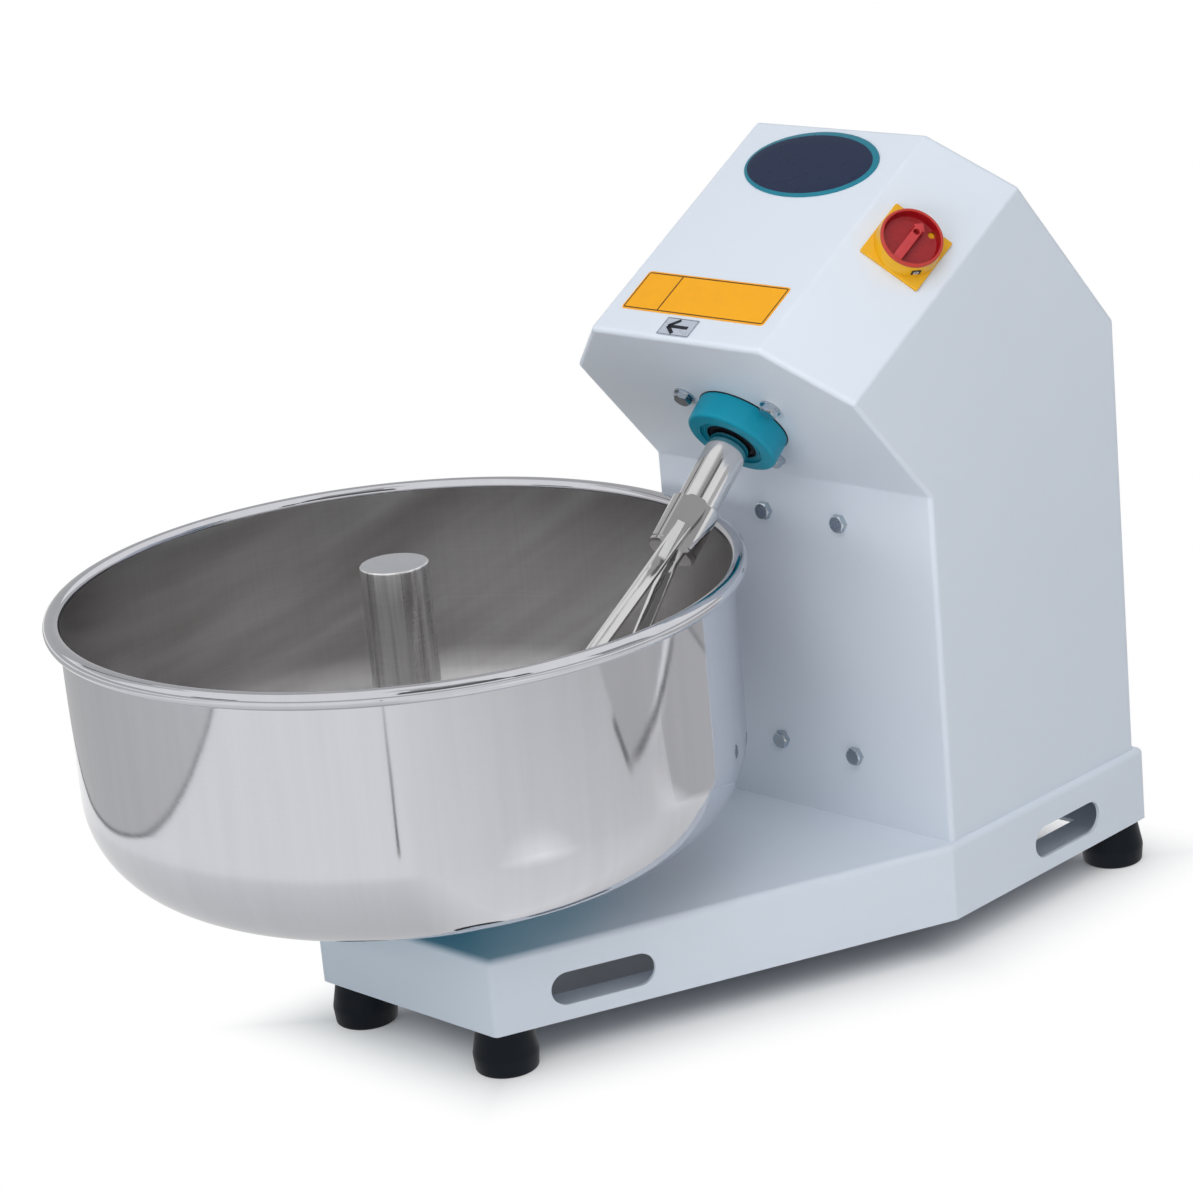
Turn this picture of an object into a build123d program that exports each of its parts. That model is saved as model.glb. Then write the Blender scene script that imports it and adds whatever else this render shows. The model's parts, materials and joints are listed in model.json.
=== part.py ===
"""Fork dough mixer: a folded steel column on a low base, a free-turning bowl and a tilted fork.

Machine coordinates while modelling, in millimetres: x to the machine's right from the middle of
the column, y backwards from the column's front wall, z up from the floor.  The finished pieces are
moved so that the origin lies under the middle of the whole machine, on the floor.
"""

import os
from math import cos, pi, radians, sin, sqrt, tan

from build123d import *

# Base: one folded sheet tray, wide under the column and drawn in to the left under the bowl
BASE_LEDGE = 5.0
BASE_BACK_LEDGE = 7.0
BASE_CREASE = -6.0
BASE_FRONT = -358.0
BASE_FRONT_RIGHT = -7.0
BASE_FRONT_LEFT = -200.0
BASE_HEIGHT = 61.0
BASE_SHEET = 3.0
BASE_BEND = 5.0
BASE_RETURN = 42.0
SLOT_LENGTH = 84.0
SLOT_HEIGHT = 26.0
SLOT_ABOVE_EDGE = 25.0
FRONT_SLOT_FROM_CORNER = 88.5
REAR_SLOT_Y = 137.5

# Feet
FOOT_HEIGHT = 34.0
FOOT_RADIUS = 25.0
FOOT_TOP_RADIUS = 21.0
FOOT_SKIRT = 15.0
FOOT_OVERHANG = 4.0
FOOT_RECESS_RADIUS = 9.5
FOOT_RECESS_DEPTH = 14.0

# Housing: column and head, one folded sheet
COLUMN_WIDTH = 280.0
COLUMN_DEPTH = 236.0
COLUMN_SHEET = 2.0
COLUMN_BEND = 4.0
FRONT_WALL_HEIGHT = 276.4
NOSE_LENGTH = 178.0
NOSE_RISE = 49.0
PANEL_LENGTH = 238.0
PANEL_SLOPE = 30.0
BACK_SLOPE = 49.5
FACET = 56.0
REAR_FLANGE = 24.0
REAR_SCREW_INSET = 14.4
FLOOR_FLANGE = 28.0
REAR_COVER_SHEET = 2.0
REAR_COVER_MARGIN = 7.0
LOUVRE_COUNT = 6
LOUVRE_LENGTH = 120.0
LOUVRE_HEIGHT = 5.0
LOUVRE_PITCH = 16.0

# Bowl, post and their bearing on the base
BOWL_X = -138.0
BOWL_Y = -291.0
RIM_HEIGHT = 346.0
RIM_BEAD = 6.5
BOWL_RADIUS = 252.0
BOWL_DEPTH = 205.0
BOWL_CORNER = 73.0
BOWL_SHEET = 2.0
POST_RADIUS = 26.0
POST_ABOVE_RIM = 16.0
POST_EDGE = 1.5
SPINDLE_RADIUS = 12.5
SPINDLE_FLANGE_RADIUS = 46.0
SPINDLE_FLANGE = 7.0
SPINDLE_TAIL = 24.0
STUD_RADIUS = 8.0
STUD_LENGTH = 30.0
HUB_FLANGE = 8.0
HUB_WALL = 5.0
HUB_BEARING_RADIUS = 26.0
HUB_BEARING_LENGTH = 15.0
HUB_LIP = 1.5
BOWL_RUNNING_GAP = 0.8
BOWL_SCREW_RADIUS = 37.0

# Fork, square to the nose panel; it and its drive stand a little to the right of the column's middle
DRIVE_X = 3.0
BOSS_ALONG_NOSE = 75.0
BOSS_RADIUS = 37.0
BOSS_PROUD = 22.0
BOSS_EDGE = 3.0
BOSS_FLANGE_RADIUS = 44.0
BOSS_FLANGE = 4.0
NOSE_BOLT_CIRCLE = 50.0
NOSE_BOLT_COUNT = 3
SHAFT_RADIUS = 16.0
SHAFT_TAIL_RADIUS = 15.0
HEAD_RADIUS = 19.0
HEAD_START = 80.0
HEAD_END = 122.0
HEAD_GROOVE = 1.0
HEAD_GROOVE_FROM_END = 4.0
ARM_WIDTH = 17.0
ARM_THICKNESS = 8.0
ARM_SEAT = 15.0
ARM_CORNER = 5.0
ARM_NARROW_START = 90.0
ARM_NARROW_END = 104.0
TINE_WIDTH = 12.0
TINE_THICKNESS = 10.0
TINE_CORNER = 2.0
TINE_REACH = 31.0
TINE_SIDE = 26.0
TINE_SPREAD_END = 300.0
TINE_END = 352.0
TINE_TIP = 3.0
TINE_STATIONS = 9
ARM_RIB_WIDTH = 6.0
ARM_RIB_HEIGHT = 1.8
ARM_RIB_START = 104.0
ARM_RIB_END = 136.0
ARM_RIB_SIDE = 2.5
FORK_ANGLE = 49.0
FORK_BEARING_RADIUS = 31.0
FORK_BEARING_LENGTH = 17.0
TAIL_BEARING_RADIUS = 31.0
TAIL_BEARING_LENGTH = 16.0
SEAL_RADIUS = 26.0
SEAL_LENGTH = 8.0
SEAL_RECESS = 1.5
SEAL_GROOVE = 3.0
SEAL_GROOVE_DEPTH = 2.0

# Worm gear
MODULE = 5.0
WHEEL_TEETH = 20
WHEEL_FACE = 30.0
WORM_PITCH_RADIUS = 22.5
WORM_TURNS = 4
WORM_THREAD_ROOT = 7.0
WORM_THREAD_TIP = 3.4
WHEEL_TOOTH_TIP = 3.5
WHEEL_TOOTH_ROOT = 8.0
TOOTH_ROOT_GAP = 0.6
GEAR_DEPTH = 85.0
WORM_SHAFT_RADIUS = 12.5
WORM_BEARING_RADIUS = 26.0
WORM_BEARING_LENGTH = 15.0
KEY_WIDTH = 8.0
KEY_HEIGHT = 7.0

# Gearbox
GEARBOX_WALL = 7.0
GEARBOX_FRONT_WALL = 14.0
GEARBOX_COVER = 10.0
GEARBOX_ROOM = 4.0
WORM_BOSS_WALL = 5.0
WORM_BOSS_REACH = 18.0
END_CAP = 6.0
LOCK_NUT_RADIUS = 22.0
LOCK_NUT_LENGTH = 8.0
LOCK_NUT_NOTCH = 3.0

# Belt drive
BELT_FROM_CAP = 12.0
BELT_WIDTH = 13.0
BELT_HEIGHT = 8.0
BELT_ABOVE_PITCH = 3.5
BELT_WEDGE = 20.0
BELT_SLANT = 7.2
BELT_GAP = 0.4
PULLEY_WIDTH = 22.0
PULLEY_RIM = 1.0
GROOVE_FLOOR = 2.0
MOTOR_PULLEY_RADIUS = 30.0
WORM_PULLEY_RADIUS = 45.0

# Motor
MOTOR_BELOW_PLATE_MIDDLE = 19.0
MOTOR_SHAFT_HEIGHT = 80.0
MOTOR_PLATE = 8.0
MOTOR_PLATE_MARGIN = 22.0
MOTOR_BODY_RADIUS = 60.0
MOTOR_BODY_WALL = 8.0
MOTOR_FIN = 9.0
MOTOR_FIN_THICKNESS = 2.5
MOTOR_FIN_COUNT = 28
MOTOR_FIN_ROOT = 2.0
MOTOR_WALL_GAP = 10.0
MOTOR_DRIVE_GAP = 31.0
SHIELD_THICKNESS = 12.0
ROTOR_RADIUS = 34.0
ROTOR_AIR_GAP = 0.5
CORE_MARGIN = 26.0
MOTOR_SHAFT_RADIUS = 9.5
MOTOR_BEARING_RADIUS = 20.0
FAN_RADIUS = 50.0
FAN_WIDTH = 14.0
FAN_BLADES = 7
FAN_BLADE_THICKNESS = 2.5
FAN_HUB_RADIUS = 19.0
VENT_COUNT = 12
VENT_LENGTH = 30.0
VENT_CIRCLE = 36.0
FAN_COVER_LENGTH = 38.0
FAN_COVER_SHEET = 2.0
TERMINAL_BOX = 66.0
TERMINAL_BOX_DEPTH = 30.0
TERMINAL_BOX_WALL = 3.0
TERMINAL_LID = 4.0
MOTOR_FOOT_SPREAD = 46.0
MOTOR_FOOT_WIDTH = 20.0
MOTOR_WEB_SPREAD = 34.5
MOTOR_FOOT_LENGTH = 100.0
MOTOR_FOOT_THICKNESS = 10.0

# The four bolts through the front wall that carry the motor plate
WALL_BOLT_X = 10.5
WALL_BOLT_SPACING_X = 76.0
WALL_BOLT_SPACING_Z = 190.0
WALL_BOLT_BELOW_FOLD = 32.4

# Main switch on the right facet
SWITCH_FROM_CROWN = 92.6
SWITCH_PLATE = 50.0
SWITCH_PLATE_THICKNESS = 3.0
SWITCH_PLATE_CORNER = 3.0
SWITCH_COLLAR_RADIUS = 24.5
SWITCH_COLLAR_TAPER = 1.2
SWITCH_COLLAR = 16.0
SWITCH_COLLAR_FLOOR = 5.0
SWITCH_COLLAR_WALL = 1.5
SWITCH_KNOB_RADIUS = 23.5
SWITCH_KNOB_HEIGHT = 14.0
SWITCH_KNOB_WALL = 3.3
SWITCH_KNOB_FLOOR = 3.0
SWITCH_KNOB_EDGE = 0.8
SWITCH_GRIP_TAIL = 7.0
SWITCH_GRIP_HEAD = 10.0
SWITCH_GRIP_SHOULDER = 10.0
SWITCH_GRIP_TIP = 15.6
SWITCH_GRIP_HOLE = 2.3
SWITCH_GRIP_HOLE_AT = 6.3
SWITCH_GRIP_HOLE_DEPTH = 5.0
SWITCH_LOCK_HOLE = 2.4
SWITCH_LOCK_AT = 16.8
SWITCH_LOCK_ANGLE = -32.0
SWITCH_SCREW_CIRCLE = 15.5
SWITCH_SPINDLE = 6.0
SWITCH_SPINDLE_LENGTH = 26.0
SWITCH_BODY = 42.0
SWITCH_BODY_DEPTH = 32.0
SWITCH_BORE_DEPTH = 26.0
SWITCH_HOLE_RADIUS = 11.0

# Cable gland low on the left wall
GLAND_Y = 190.0
GLAND_OVER_BASE = 45.0
GLAND_RADIUS = 10.0
GLAND_NUT = 27.0
GLAND_REACH = 17.0
GLAND_HEX_HEIGHT = 6.8
GLAND_DOME_RADIUS = 11.9
GLAND_DOME_ROUND = 5.0
GLAND_BORE = 4.5
GLAND_TAIL = 12.0
GLAND_LOCK_NUT = 6.0

# Metric fasteners: shank radius, distance across flats and head height
M5 = (2.5, 9.0, 3.0)
M6 = (3.0, 10.0, 4.0)
M8 = (4.0, 13.0, 5.3)
M10 = (5.0, 16.0, 6.4)
WASHER_THICKNESS = 1.6
WASHER_RADIUS = 8.5
NUT_SHARE = 1.2
THREAD_PAST_NUT = 3.0
SCREW_END_GAP = 1.0

# Shares of a fastener's head: crown of a hexagon, dome and cross-slot of a round head
HEX_CROWN = 0.8
DOME = 0.6
CROSS_LENGTH = 0.6
CROSS_WIDTH = 0.3
CROSS_DEPTH = 0.5

# Clearances
HOLE_CLEARANCE = 0.4
SLIP_CLEARANCE = 0.1
RUNNING_CLEARANCE = 0.05
MOVING_GAP = 0.3
CUT_PAST = 5.0

# Heights and key points that follow from the sizes above
BASE_BOTTOM = FOOT_HEIGHT
BASE_TOP = BASE_BOTTOM + BASE_HEIGHT
NOSE_FOLD = Vector(0, 0, BASE_TOP + FRONT_WALL_HEIGHT)
NOSE_UP = Vector(0, -cos(radians(NOSE_RISE)), sin(radians(NOSE_RISE)))
NOSE_OUT = Vector(0, -sin(radians(NOSE_RISE)), -cos(radians(NOSE_RISE)))
PANEL_UP = Vector(0, cos(radians(PANEL_SLOPE)), sin(radians(PANEL_SLOPE)))
PANEL_OUT = Vector(0, -sin(radians(PANEL_SLOPE)), cos(radians(PANEL_SLOPE)))
NOSE_TOP = NOSE_FOLD + NOSE_UP * NOSE_LENGTH
CROWN = NOSE_TOP + PANEL_UP * PANEL_LENGTH
BACK_TOP_Z = CROWN.Z - (COLUMN_DEPTH - CROWN.Y) * tan(radians(BACK_SLOPE))
RIM_OUTER = BOWL_RADIUS - BOWL_SHEET + 2 * RIM_BEAD
BASE_HALF_WIDTH = COLUMN_WIDTH / 2 + BASE_LEDGE
BASE_BACK = COLUMN_DEPTH + BASE_BACK_LEDGE
WALL_BOLT_Z = NOSE_FOLD.Z - WALL_BOLT_BELOW_FOLD - WALL_BOLT_SPACING_Z / 2
BOWL_BOTTOM = RIM_HEIGHT - BOWL_DEPTH
ORIGIN_X = (BOWL_X - RIM_OUTER + BASE_HALF_WIDTH + FOOT_OVERHANG) / 2
ORIGIN_Y = (BOWL_Y - RIM_OUTER + BASE_BACK + FOOT_OVERHANG) / 2

# Working planes: each has its own z axis along the shaft or face that it serves
BOWL_PLANE = Plane(origin=(BOWL_X, BOWL_Y, 0))
BOSS_MIDDLE = NOSE_FOLD + NOSE_UP * BOSS_ALONG_NOSE + Vector(DRIVE_X, 0, 0)
NOSE_PLANE = Plane(origin=BOSS_MIDDLE, x_dir=(1, 0, 0), z_dir=NOSE_OUT)
WHEEL_PITCH_RADIUS = MODULE * WHEEL_TEETH / 2
CENTRE_DISTANCE = WHEEL_PITCH_RADIUS + WORM_PITCH_RADIUS
WORM_CENTRE = NOSE_PLANE.from_local_coords(Vector(0, -CENTRE_DISTANCE, -GEAR_DEPTH))
WORM_PLANE = Plane(origin=WORM_CENTRE, x_dir=NOSE_UP, z_dir=(1, 0, 0))
MOTOR_Y = COLUMN_SHEET + MOTOR_PLATE + MOTOR_SHAFT_HEIGHT
MOTOR_Z = WALL_BOLT_Z - MOTOR_BELOW_PLATE_MIDDLE
MOTOR_PLANE = Plane(origin=(DRIVE_X, MOTOR_Y, MOTOR_Z), x_dir=(0, 1, 0), z_dir=(1, 0, 0))
FACET_OUT = (Vector(1, 0, 0) + PANEL_OUT).normalized()
FACET_MIDDLE = CROWN + Vector(COLUMN_WIDTH / 2 - FACET / 2, 0, 0) - PANEL_OUT * (FACET / 2)
SWITCH_PLANE = Plane(origin=FACET_MIDDLE - PANEL_UP * SWITCH_FROM_CROWN, x_dir=PANEL_UP, z_dir=FACET_OUT)

# Gear and gearbox sizes that follow
WHEEL_TIP_RADIUS = WHEEL_PITCH_RADIUS + MODULE
WORM_TIP_RADIUS = WORM_PITCH_RADIUS + MODULE
WORM_ROOT_RADIUS = CENTRE_DISTANCE - WHEEL_TIP_RADIUS - TOOTH_ROOT_GAP
WHEEL_ROOT_RADIUS = CENTRE_DISTANCE - WORM_TIP_RADIUS - TOOTH_ROOT_GAP
WORM_LEAD = pi * MODULE
WORM_BOSS_RADIUS = WORM_BEARING_RADIUS + WORM_BOSS_WALL
BOX_HALF_WIDTH = WHEEL_TIP_RADIUS + GEARBOX_ROOM
BOX_TOP = WHEEL_TIP_RADIUS + GEARBOX_ROOM
BOX_BOTTOM = -(CENTRE_DISTANCE + WORM_TIP_RADIUS + GEARBOX_ROOM)
BOX_FRONT = -(COLUMN_SHEET + GEARBOX_FRONT_WALL)
BOX_BACK = -(GEAR_DEPTH + max(WORM_TIP_RADIUS + GEARBOX_ROOM, WORM_BOSS_RADIUS))
COVER_BACK = BOX_BACK - GEARBOX_COVER
TAIL_BEARING_START = COVER_BACK + GEARBOX_COVER / 2
TAIL_BOSS_END = TAIL_BEARING_START - TAIL_BEARING_LENGTH - HUB_LIP
WORM_BOSS_END = BOX_HALF_WIDTH + WORM_BOSS_REACH
BELT_X = WORM_BOSS_END + END_CAP + BELT_FROM_CAP + PULLEY_WIDTH / 2
FAN_COVER_END = -COLUMN_WIDTH / 2 - DRIVE_X + COLUMN_SHEET + MOTOR_WALL_GAP
MOTOR_START = FAN_COVER_END + FAN_COVER_LENGTH + SHIELD_THICKNESS
MOTOR_END = BELT_X - PULLEY_WIDTH / 2 - MOTOR_DRIVE_GAP - SHIELD_THICKNESS
SEAL_FACE = BOSS_PROUD - SEAL_RECESS
HUB_TOP = BOWL_BOTTOM - SPINDLE_FLANGE - BOWL_RUNNING_GAP
HUB_RADIUS = HUB_BEARING_RADIUS + HUB_WALL
HUB_BOLT_RADIUS = HUB_RADIUS + M8[1] / sqrt(3) + HOLE_CLEARANCE
HUB_FLANGE_RADIUS = HUB_BOLT_RADIUS + M8[1] / sqrt(3)

CENTRED = (Align.CENTER, Align.CENTER, Align.MIN)


def disc(radius, low, high):
    """Round bar along z between two heights."""
    return Pos(0, 0, low) * Cylinder(radius, high - low, align=CENTRED)


def ring(outer, inner, low, high):
    """Tube along z between two heights."""
    return disc(outer, low, high) - disc(inner, low - CUT_PAST, high + CUT_PAST)


def block(x_span, y_span, z_span):
    """Box given by its low and high limits on each axis."""
    size = [high - low for low, high in (x_span, y_span, z_span)]
    middle = [(high + low) / 2 for low, high in (x_span, y_span, z_span)]
    return Pos(*middle) * Box(*size)


def turned(points):
    """Turned piece about z from (radius, height) points."""
    outline = [(radius, 0, height) for radius, height in points]
    return revolve(make_face(Polyline(*outline, close=True)), axis=Axis.Z)


def hexagon(across_flats, low, high):
    """Hexagonal bar along z between two heights."""
    shape = extrude(RegularPolygon(across_flats / 2, 6, major_radius=False), high - low)
    return Pos(0, 0, low) * shape


def hex_bolt(metric, length):
    """Hexagon bolt: the head's underside at z = 0, the shank going down."""
    radius, across_flats, head = metric
    corner = across_flats / sqrt(3)
    crown = turned([(0, 0), (corner, 0), (corner, head * HEX_CROWN), (corner * HEX_CROWN, head), (0, head)])
    return (hexagon(across_flats, 0, head) & crown) + disc(radius, -length, 0)


def hex_nut(metric):
    """Hexagon nut: its seat at z = 0, the rest below."""
    radius, across_flats, head = metric
    return hexagon(across_flats, -head * NUT_SHARE, 0) - disc(radius, -head * 2, CUT_PAST)


def nut_height(metric):
    """Height of a nut of this thread."""
    return metric[2] * NUT_SHARE


def pan_screw(metric, length):
    """Round-headed screw with a cross-slot, the head's underside at z = 0."""
    radius, head_width, head = metric
    cap = fillet(disc(head_width / 2, 0, head).edges().group_by(Axis.Z)[-1], head * DOME)
    reach = head_width * CROSS_LENGTH / 2
    half = head * CROSS_WIDTH / 2
    slot = block((-reach, reach), (-half, half), (head * (1 - CROSS_DEPTH), head * 2))
    return cap - slot - Rot(0, 0, 90) * slot + disc(radius, -length, 0)


def through_bolt(metric, grip):
    """A bolt and its nut clamping a stack of the given thickness that lies below z = 0."""
    length = grip + nut_height(metric) + THREAD_PAST_NUT
    return [hex_bolt(metric, length), Pos(0, 0, -grip) * hex_nut(metric)]


def placed(locations, shapes):
    """Copies of some solids at several places, as one group."""
    return Compound([place * shape for place in locations for shape in shapes])


def hole(metric, depth):
    """Clearance hole through z = 0 for one of the fasteners."""
    return disc(metric[0] + HOLE_CLEARANCE, -depth, depth)


def cut_at(body, locations, tool):
    """A body with the same tool cut out at several places."""
    return body - [place * tool for place in locations]


# Places of the fasteners
def wall_bolt_places():
    """The four motor plate bolts, heads outside the front wall."""
    steps = [(x, z) for x in (-1, 1) for z in (-1, 1)]
    return [
        Plane(
            origin=(WALL_BOLT_X + x * WALL_BOLT_SPACING_X / 2, 0, WALL_BOLT_Z + z * WALL_BOLT_SPACING_Z / 2),
            x_dir=(1, 0, 0),
            z_dir=(0, -1, 0),
        ).location
        for x, z in steps
    ]


def nose_bolt_places():
    """The three bolts round the boss, as places on the nose plane."""
    turn = 360 / NOSE_BOLT_COUNT
    first = turn / 4
    return [Rot(0, 0, first + i * turn) * Pos(NOSE_BOLT_CIRCLE, 0, 0) for i in range(NOSE_BOLT_COUNT)]


def column_bolt_places():
    """Bolts through the column's floor flange and the base's top."""
    x_reach = COLUMN_WIDTH / 2 - FLOOR_FLANGE / 2
    y_places = (FLOOR_FLANGE / 2 + COLUMN_SHEET, COLUMN_DEPTH - FLOOR_FLANGE / 2 - COLUMN_SHEET)
    return [Pos(x, y, BASE_TOP + COLUMN_SHEET) for x in (-x_reach, x_reach) for y in y_places]


def rear_screw_places():
    """Screws round the rear cover, heads outside."""
    x_reach = COLUMN_WIDTH / 2 - REAR_SCREW_INSET
    low = BASE_TOP + REAR_SCREW_INSET
    high = BACK_TOP_Z - REAR_SCREW_INSET
    y_face = COLUMN_DEPTH + REAR_COVER_SHEET
    return [
        Plane(origin=(x, y_face, z), x_dir=(-1, 0, 0), z_dir=(0, 1, 0)).location
        for x in (-x_reach, x_reach)
        for z in (low, (low + high) / 2, high)
    ]


def hub_bolt_places():
    """Bolts through the bowl bearing housing's flange."""
    return [
        BOWL_PLANE.location * Rot(0, 0, 45 + 90 * i) * Pos(HUB_BOLT_RADIUS, 0, BASE_TOP + HUB_FLANGE)
        for i in range(4)
    ]


def bowl_screw_places():
    """Screws through the bowl's floor into the spindle flange."""
    floor = BOWL_BOTTOM + BOWL_SHEET
    return [BOWL_PLANE.location * Rot(0, 0, 90 * i) * Pos(BOWL_SCREW_RADIUS, 0, floor) for i in range(4)]


def base_corners():
    """Plan of the base, anticlockwise from the back right."""
    return [
        (BASE_HALF_WIDTH, BASE_BACK),
        (-BASE_HALF_WIDTH, BASE_BACK),
        (-BASE_HALF_WIDTH, BASE_CREASE),
        (BASE_FRONT_LEFT, BASE_FRONT),
        (BASE_FRONT_RIGHT, BASE_FRONT),
        (BASE_HALF_WIDTH, BASE_CREASE),
    ]


def base_face(inset):
    """The base's plan drawn in by a distance."""
    plan = make_face(Polyline(*base_corners(), close=True))
    return offset(plan, -inset, kind=Kind.INTERSECTION) if inset else plan


def foot_centres():
    """Feet: the four outer corners of the plan, drawn in so that the rubber stands a little proud."""
    corners = base_face(FOOT_RADIUS - FOOT_OVERHANG).vertices()
    back = sorted(corners, key=lambda point: point.Y)[-2:]
    front = sorted(corners, key=lambda point: point.Y)[:2]
    names = {}
    for end, pair in (("rear", back), ("front", front)):
        left, right = sorted(pair, key=lambda point: point.X)
        names[f"foot_{end}_left"] = (left.X, left.Y)
        names[f"foot_{end}_right"] = (right.X, right.Y)
    return names


def slot_places():
    """The four lifting slots: two in the drawn-in sides, two in the straight ones."""
    z = BASE_BOTTOM + SLOT_ABOVE_EDGE
    places = []
    for front_x, side in ((BASE_FRONT_RIGHT, 1), (BASE_FRONT_LEFT, -1)):
        corner = Vector(front_x, BASE_FRONT, z)
        along = (Vector(side * BASE_HALF_WIDTH, BASE_CREASE, z) - corner).normalized()
        out = along.cross(Vector(0, 0, 1)) * side
        places.append(Plane(origin=corner + along * FRONT_SLOT_FROM_CORNER, x_dir=along, z_dir=out).location)
        rear = Plane(origin=(side * BASE_HALF_WIDTH, REAR_SLOT_Y, z), x_dir=(0, 1, 0), z_dir=(side, 0, 0))
        places.append(rear.location)
    return places


def base_tray():
    """Folded tray: top, sides and a return flange round the open underside."""
    outer = Pos(0, 0, BASE_BOTTOM) * extrude(base_face(0), BASE_HEIGHT)
    outer = fillet(outer.edges().filter_by(lambda edge: edge.center().Z > BASE_BOTTOM + 1), BASE_BEND)
    room_height = BASE_HEIGHT - 2 * BASE_SHEET
    room = Pos(0, 0, BASE_BOTTOM + BASE_SHEET) * extrude(base_face(BASE_SHEET), room_height)
    mouth = Pos(0, 0, BASE_BOTTOM - CUT_PAST) * extrude(base_face(BASE_RETURN), BASE_HEIGHT / 2)
    tray = outer - room - mouth
    slot = extrude(SlotOverall(SLOT_LENGTH, SLOT_HEIGHT), BASE_SHEET * 2, both=True)
    tray = cut_at(tray, slot_places(), slot)
    tray = cut_at(tray, column_bolt_places(), hole(M8, BASE_SHEET * 3))
    tray = cut_at(tray, hub_bolt_places(), hole(M8, BASE_SHEET * 6))
    foot_places = [Pos(x, y, BASE_BOTTOM) for x, y in foot_centres().values()]
    tray = cut_at(tray, foot_places, hole(M8, BASE_SHEET * 2))
    spindle_way = disc(SPINDLE_RADIUS + CUT_PAST, BASE_TOP - BASE_SHEET * 2, BASE_TOP + CUT_PAST)
    return tray - BOWL_PLANE.location * spindle_way


def feet():
    """Four rubber feet with their bolts and nuts."""
    side = [(FOOT_RADIUS, 0), (FOOT_RADIUS, FOOT_SKIRT), (FOOT_TOP_RADIUS, FOOT_HEIGHT)]
    foot = turned([(0, 0), *side, (0, FOOT_HEIGHT)])
    foot -= disc(FOOT_RECESS_RADIUS, -CUT_PAST, FOOT_RECESS_DEPTH)
    foot -= disc(M8[0] + SLIP_CLEARANCE, 0, FOOT_HEIGHT + CUT_PAST)
    nodes = {name: Pos(x, y, 0) * foot for name, (x, y) in foot_centres().items()}
    grip = FOOT_HEIGHT - FOOT_RECESS_DEPTH + BASE_SHEET
    fastener = [Pos(0, 0, FOOT_RECESS_DEPTH) * Rot(180, 0, 0) * shape for shape in through_bolt(M8, grip)]
    nodes["foot_fasteners"] = placed([Pos(x, y, 0) for x, y in foot_centres().values()], fastener)
    return nodes


def facet_plane(side, inset):
    """Plane of the sloping facet on one side of the front panel, moved inwards by a distance."""
    out = (Vector(side, 0, 0) + PANEL_OUT).normalized()
    edge = CROWN + Vector(side * (COLUMN_WIDTH / 2 - FACET), 0, 0)
    return Plane(origin=edge - out * inset, x_dir=PANEL_UP, z_dir=out)


def housing_block(inset):
    """The housing's outer form as a full solid, drawn in by a distance."""
    outline = [
        (0, BASE_TOP),
        (0, NOSE_FOLD.Z),
        (NOSE_TOP.Y, NOSE_TOP.Z),
        (CROWN.Y, CROWN.Z),
        (COLUMN_DEPTH, BACK_TOP_Z),
        (COLUMN_DEPTH, BASE_TOP),
    ]
    face = make_face(Polyline(*outline, close=True))
    if inset:
        face = offset(face, -inset, kind=Kind.INTERSECTION)
    solid = extrude(Plane.YZ * face, COLUMN_WIDTH / 2 - inset, both=True)
    for side in (-1, 1):
        solid = split(solid, bisect_by=facet_plane(side, inset), keep=Keep.BOTTOM)
    bends = solid.edges().filter_by(lambda edge: edge.center().Z > BASE_TOP + inset + 1)
    return fillet(bends, COLUMN_BEND - inset)


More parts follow.
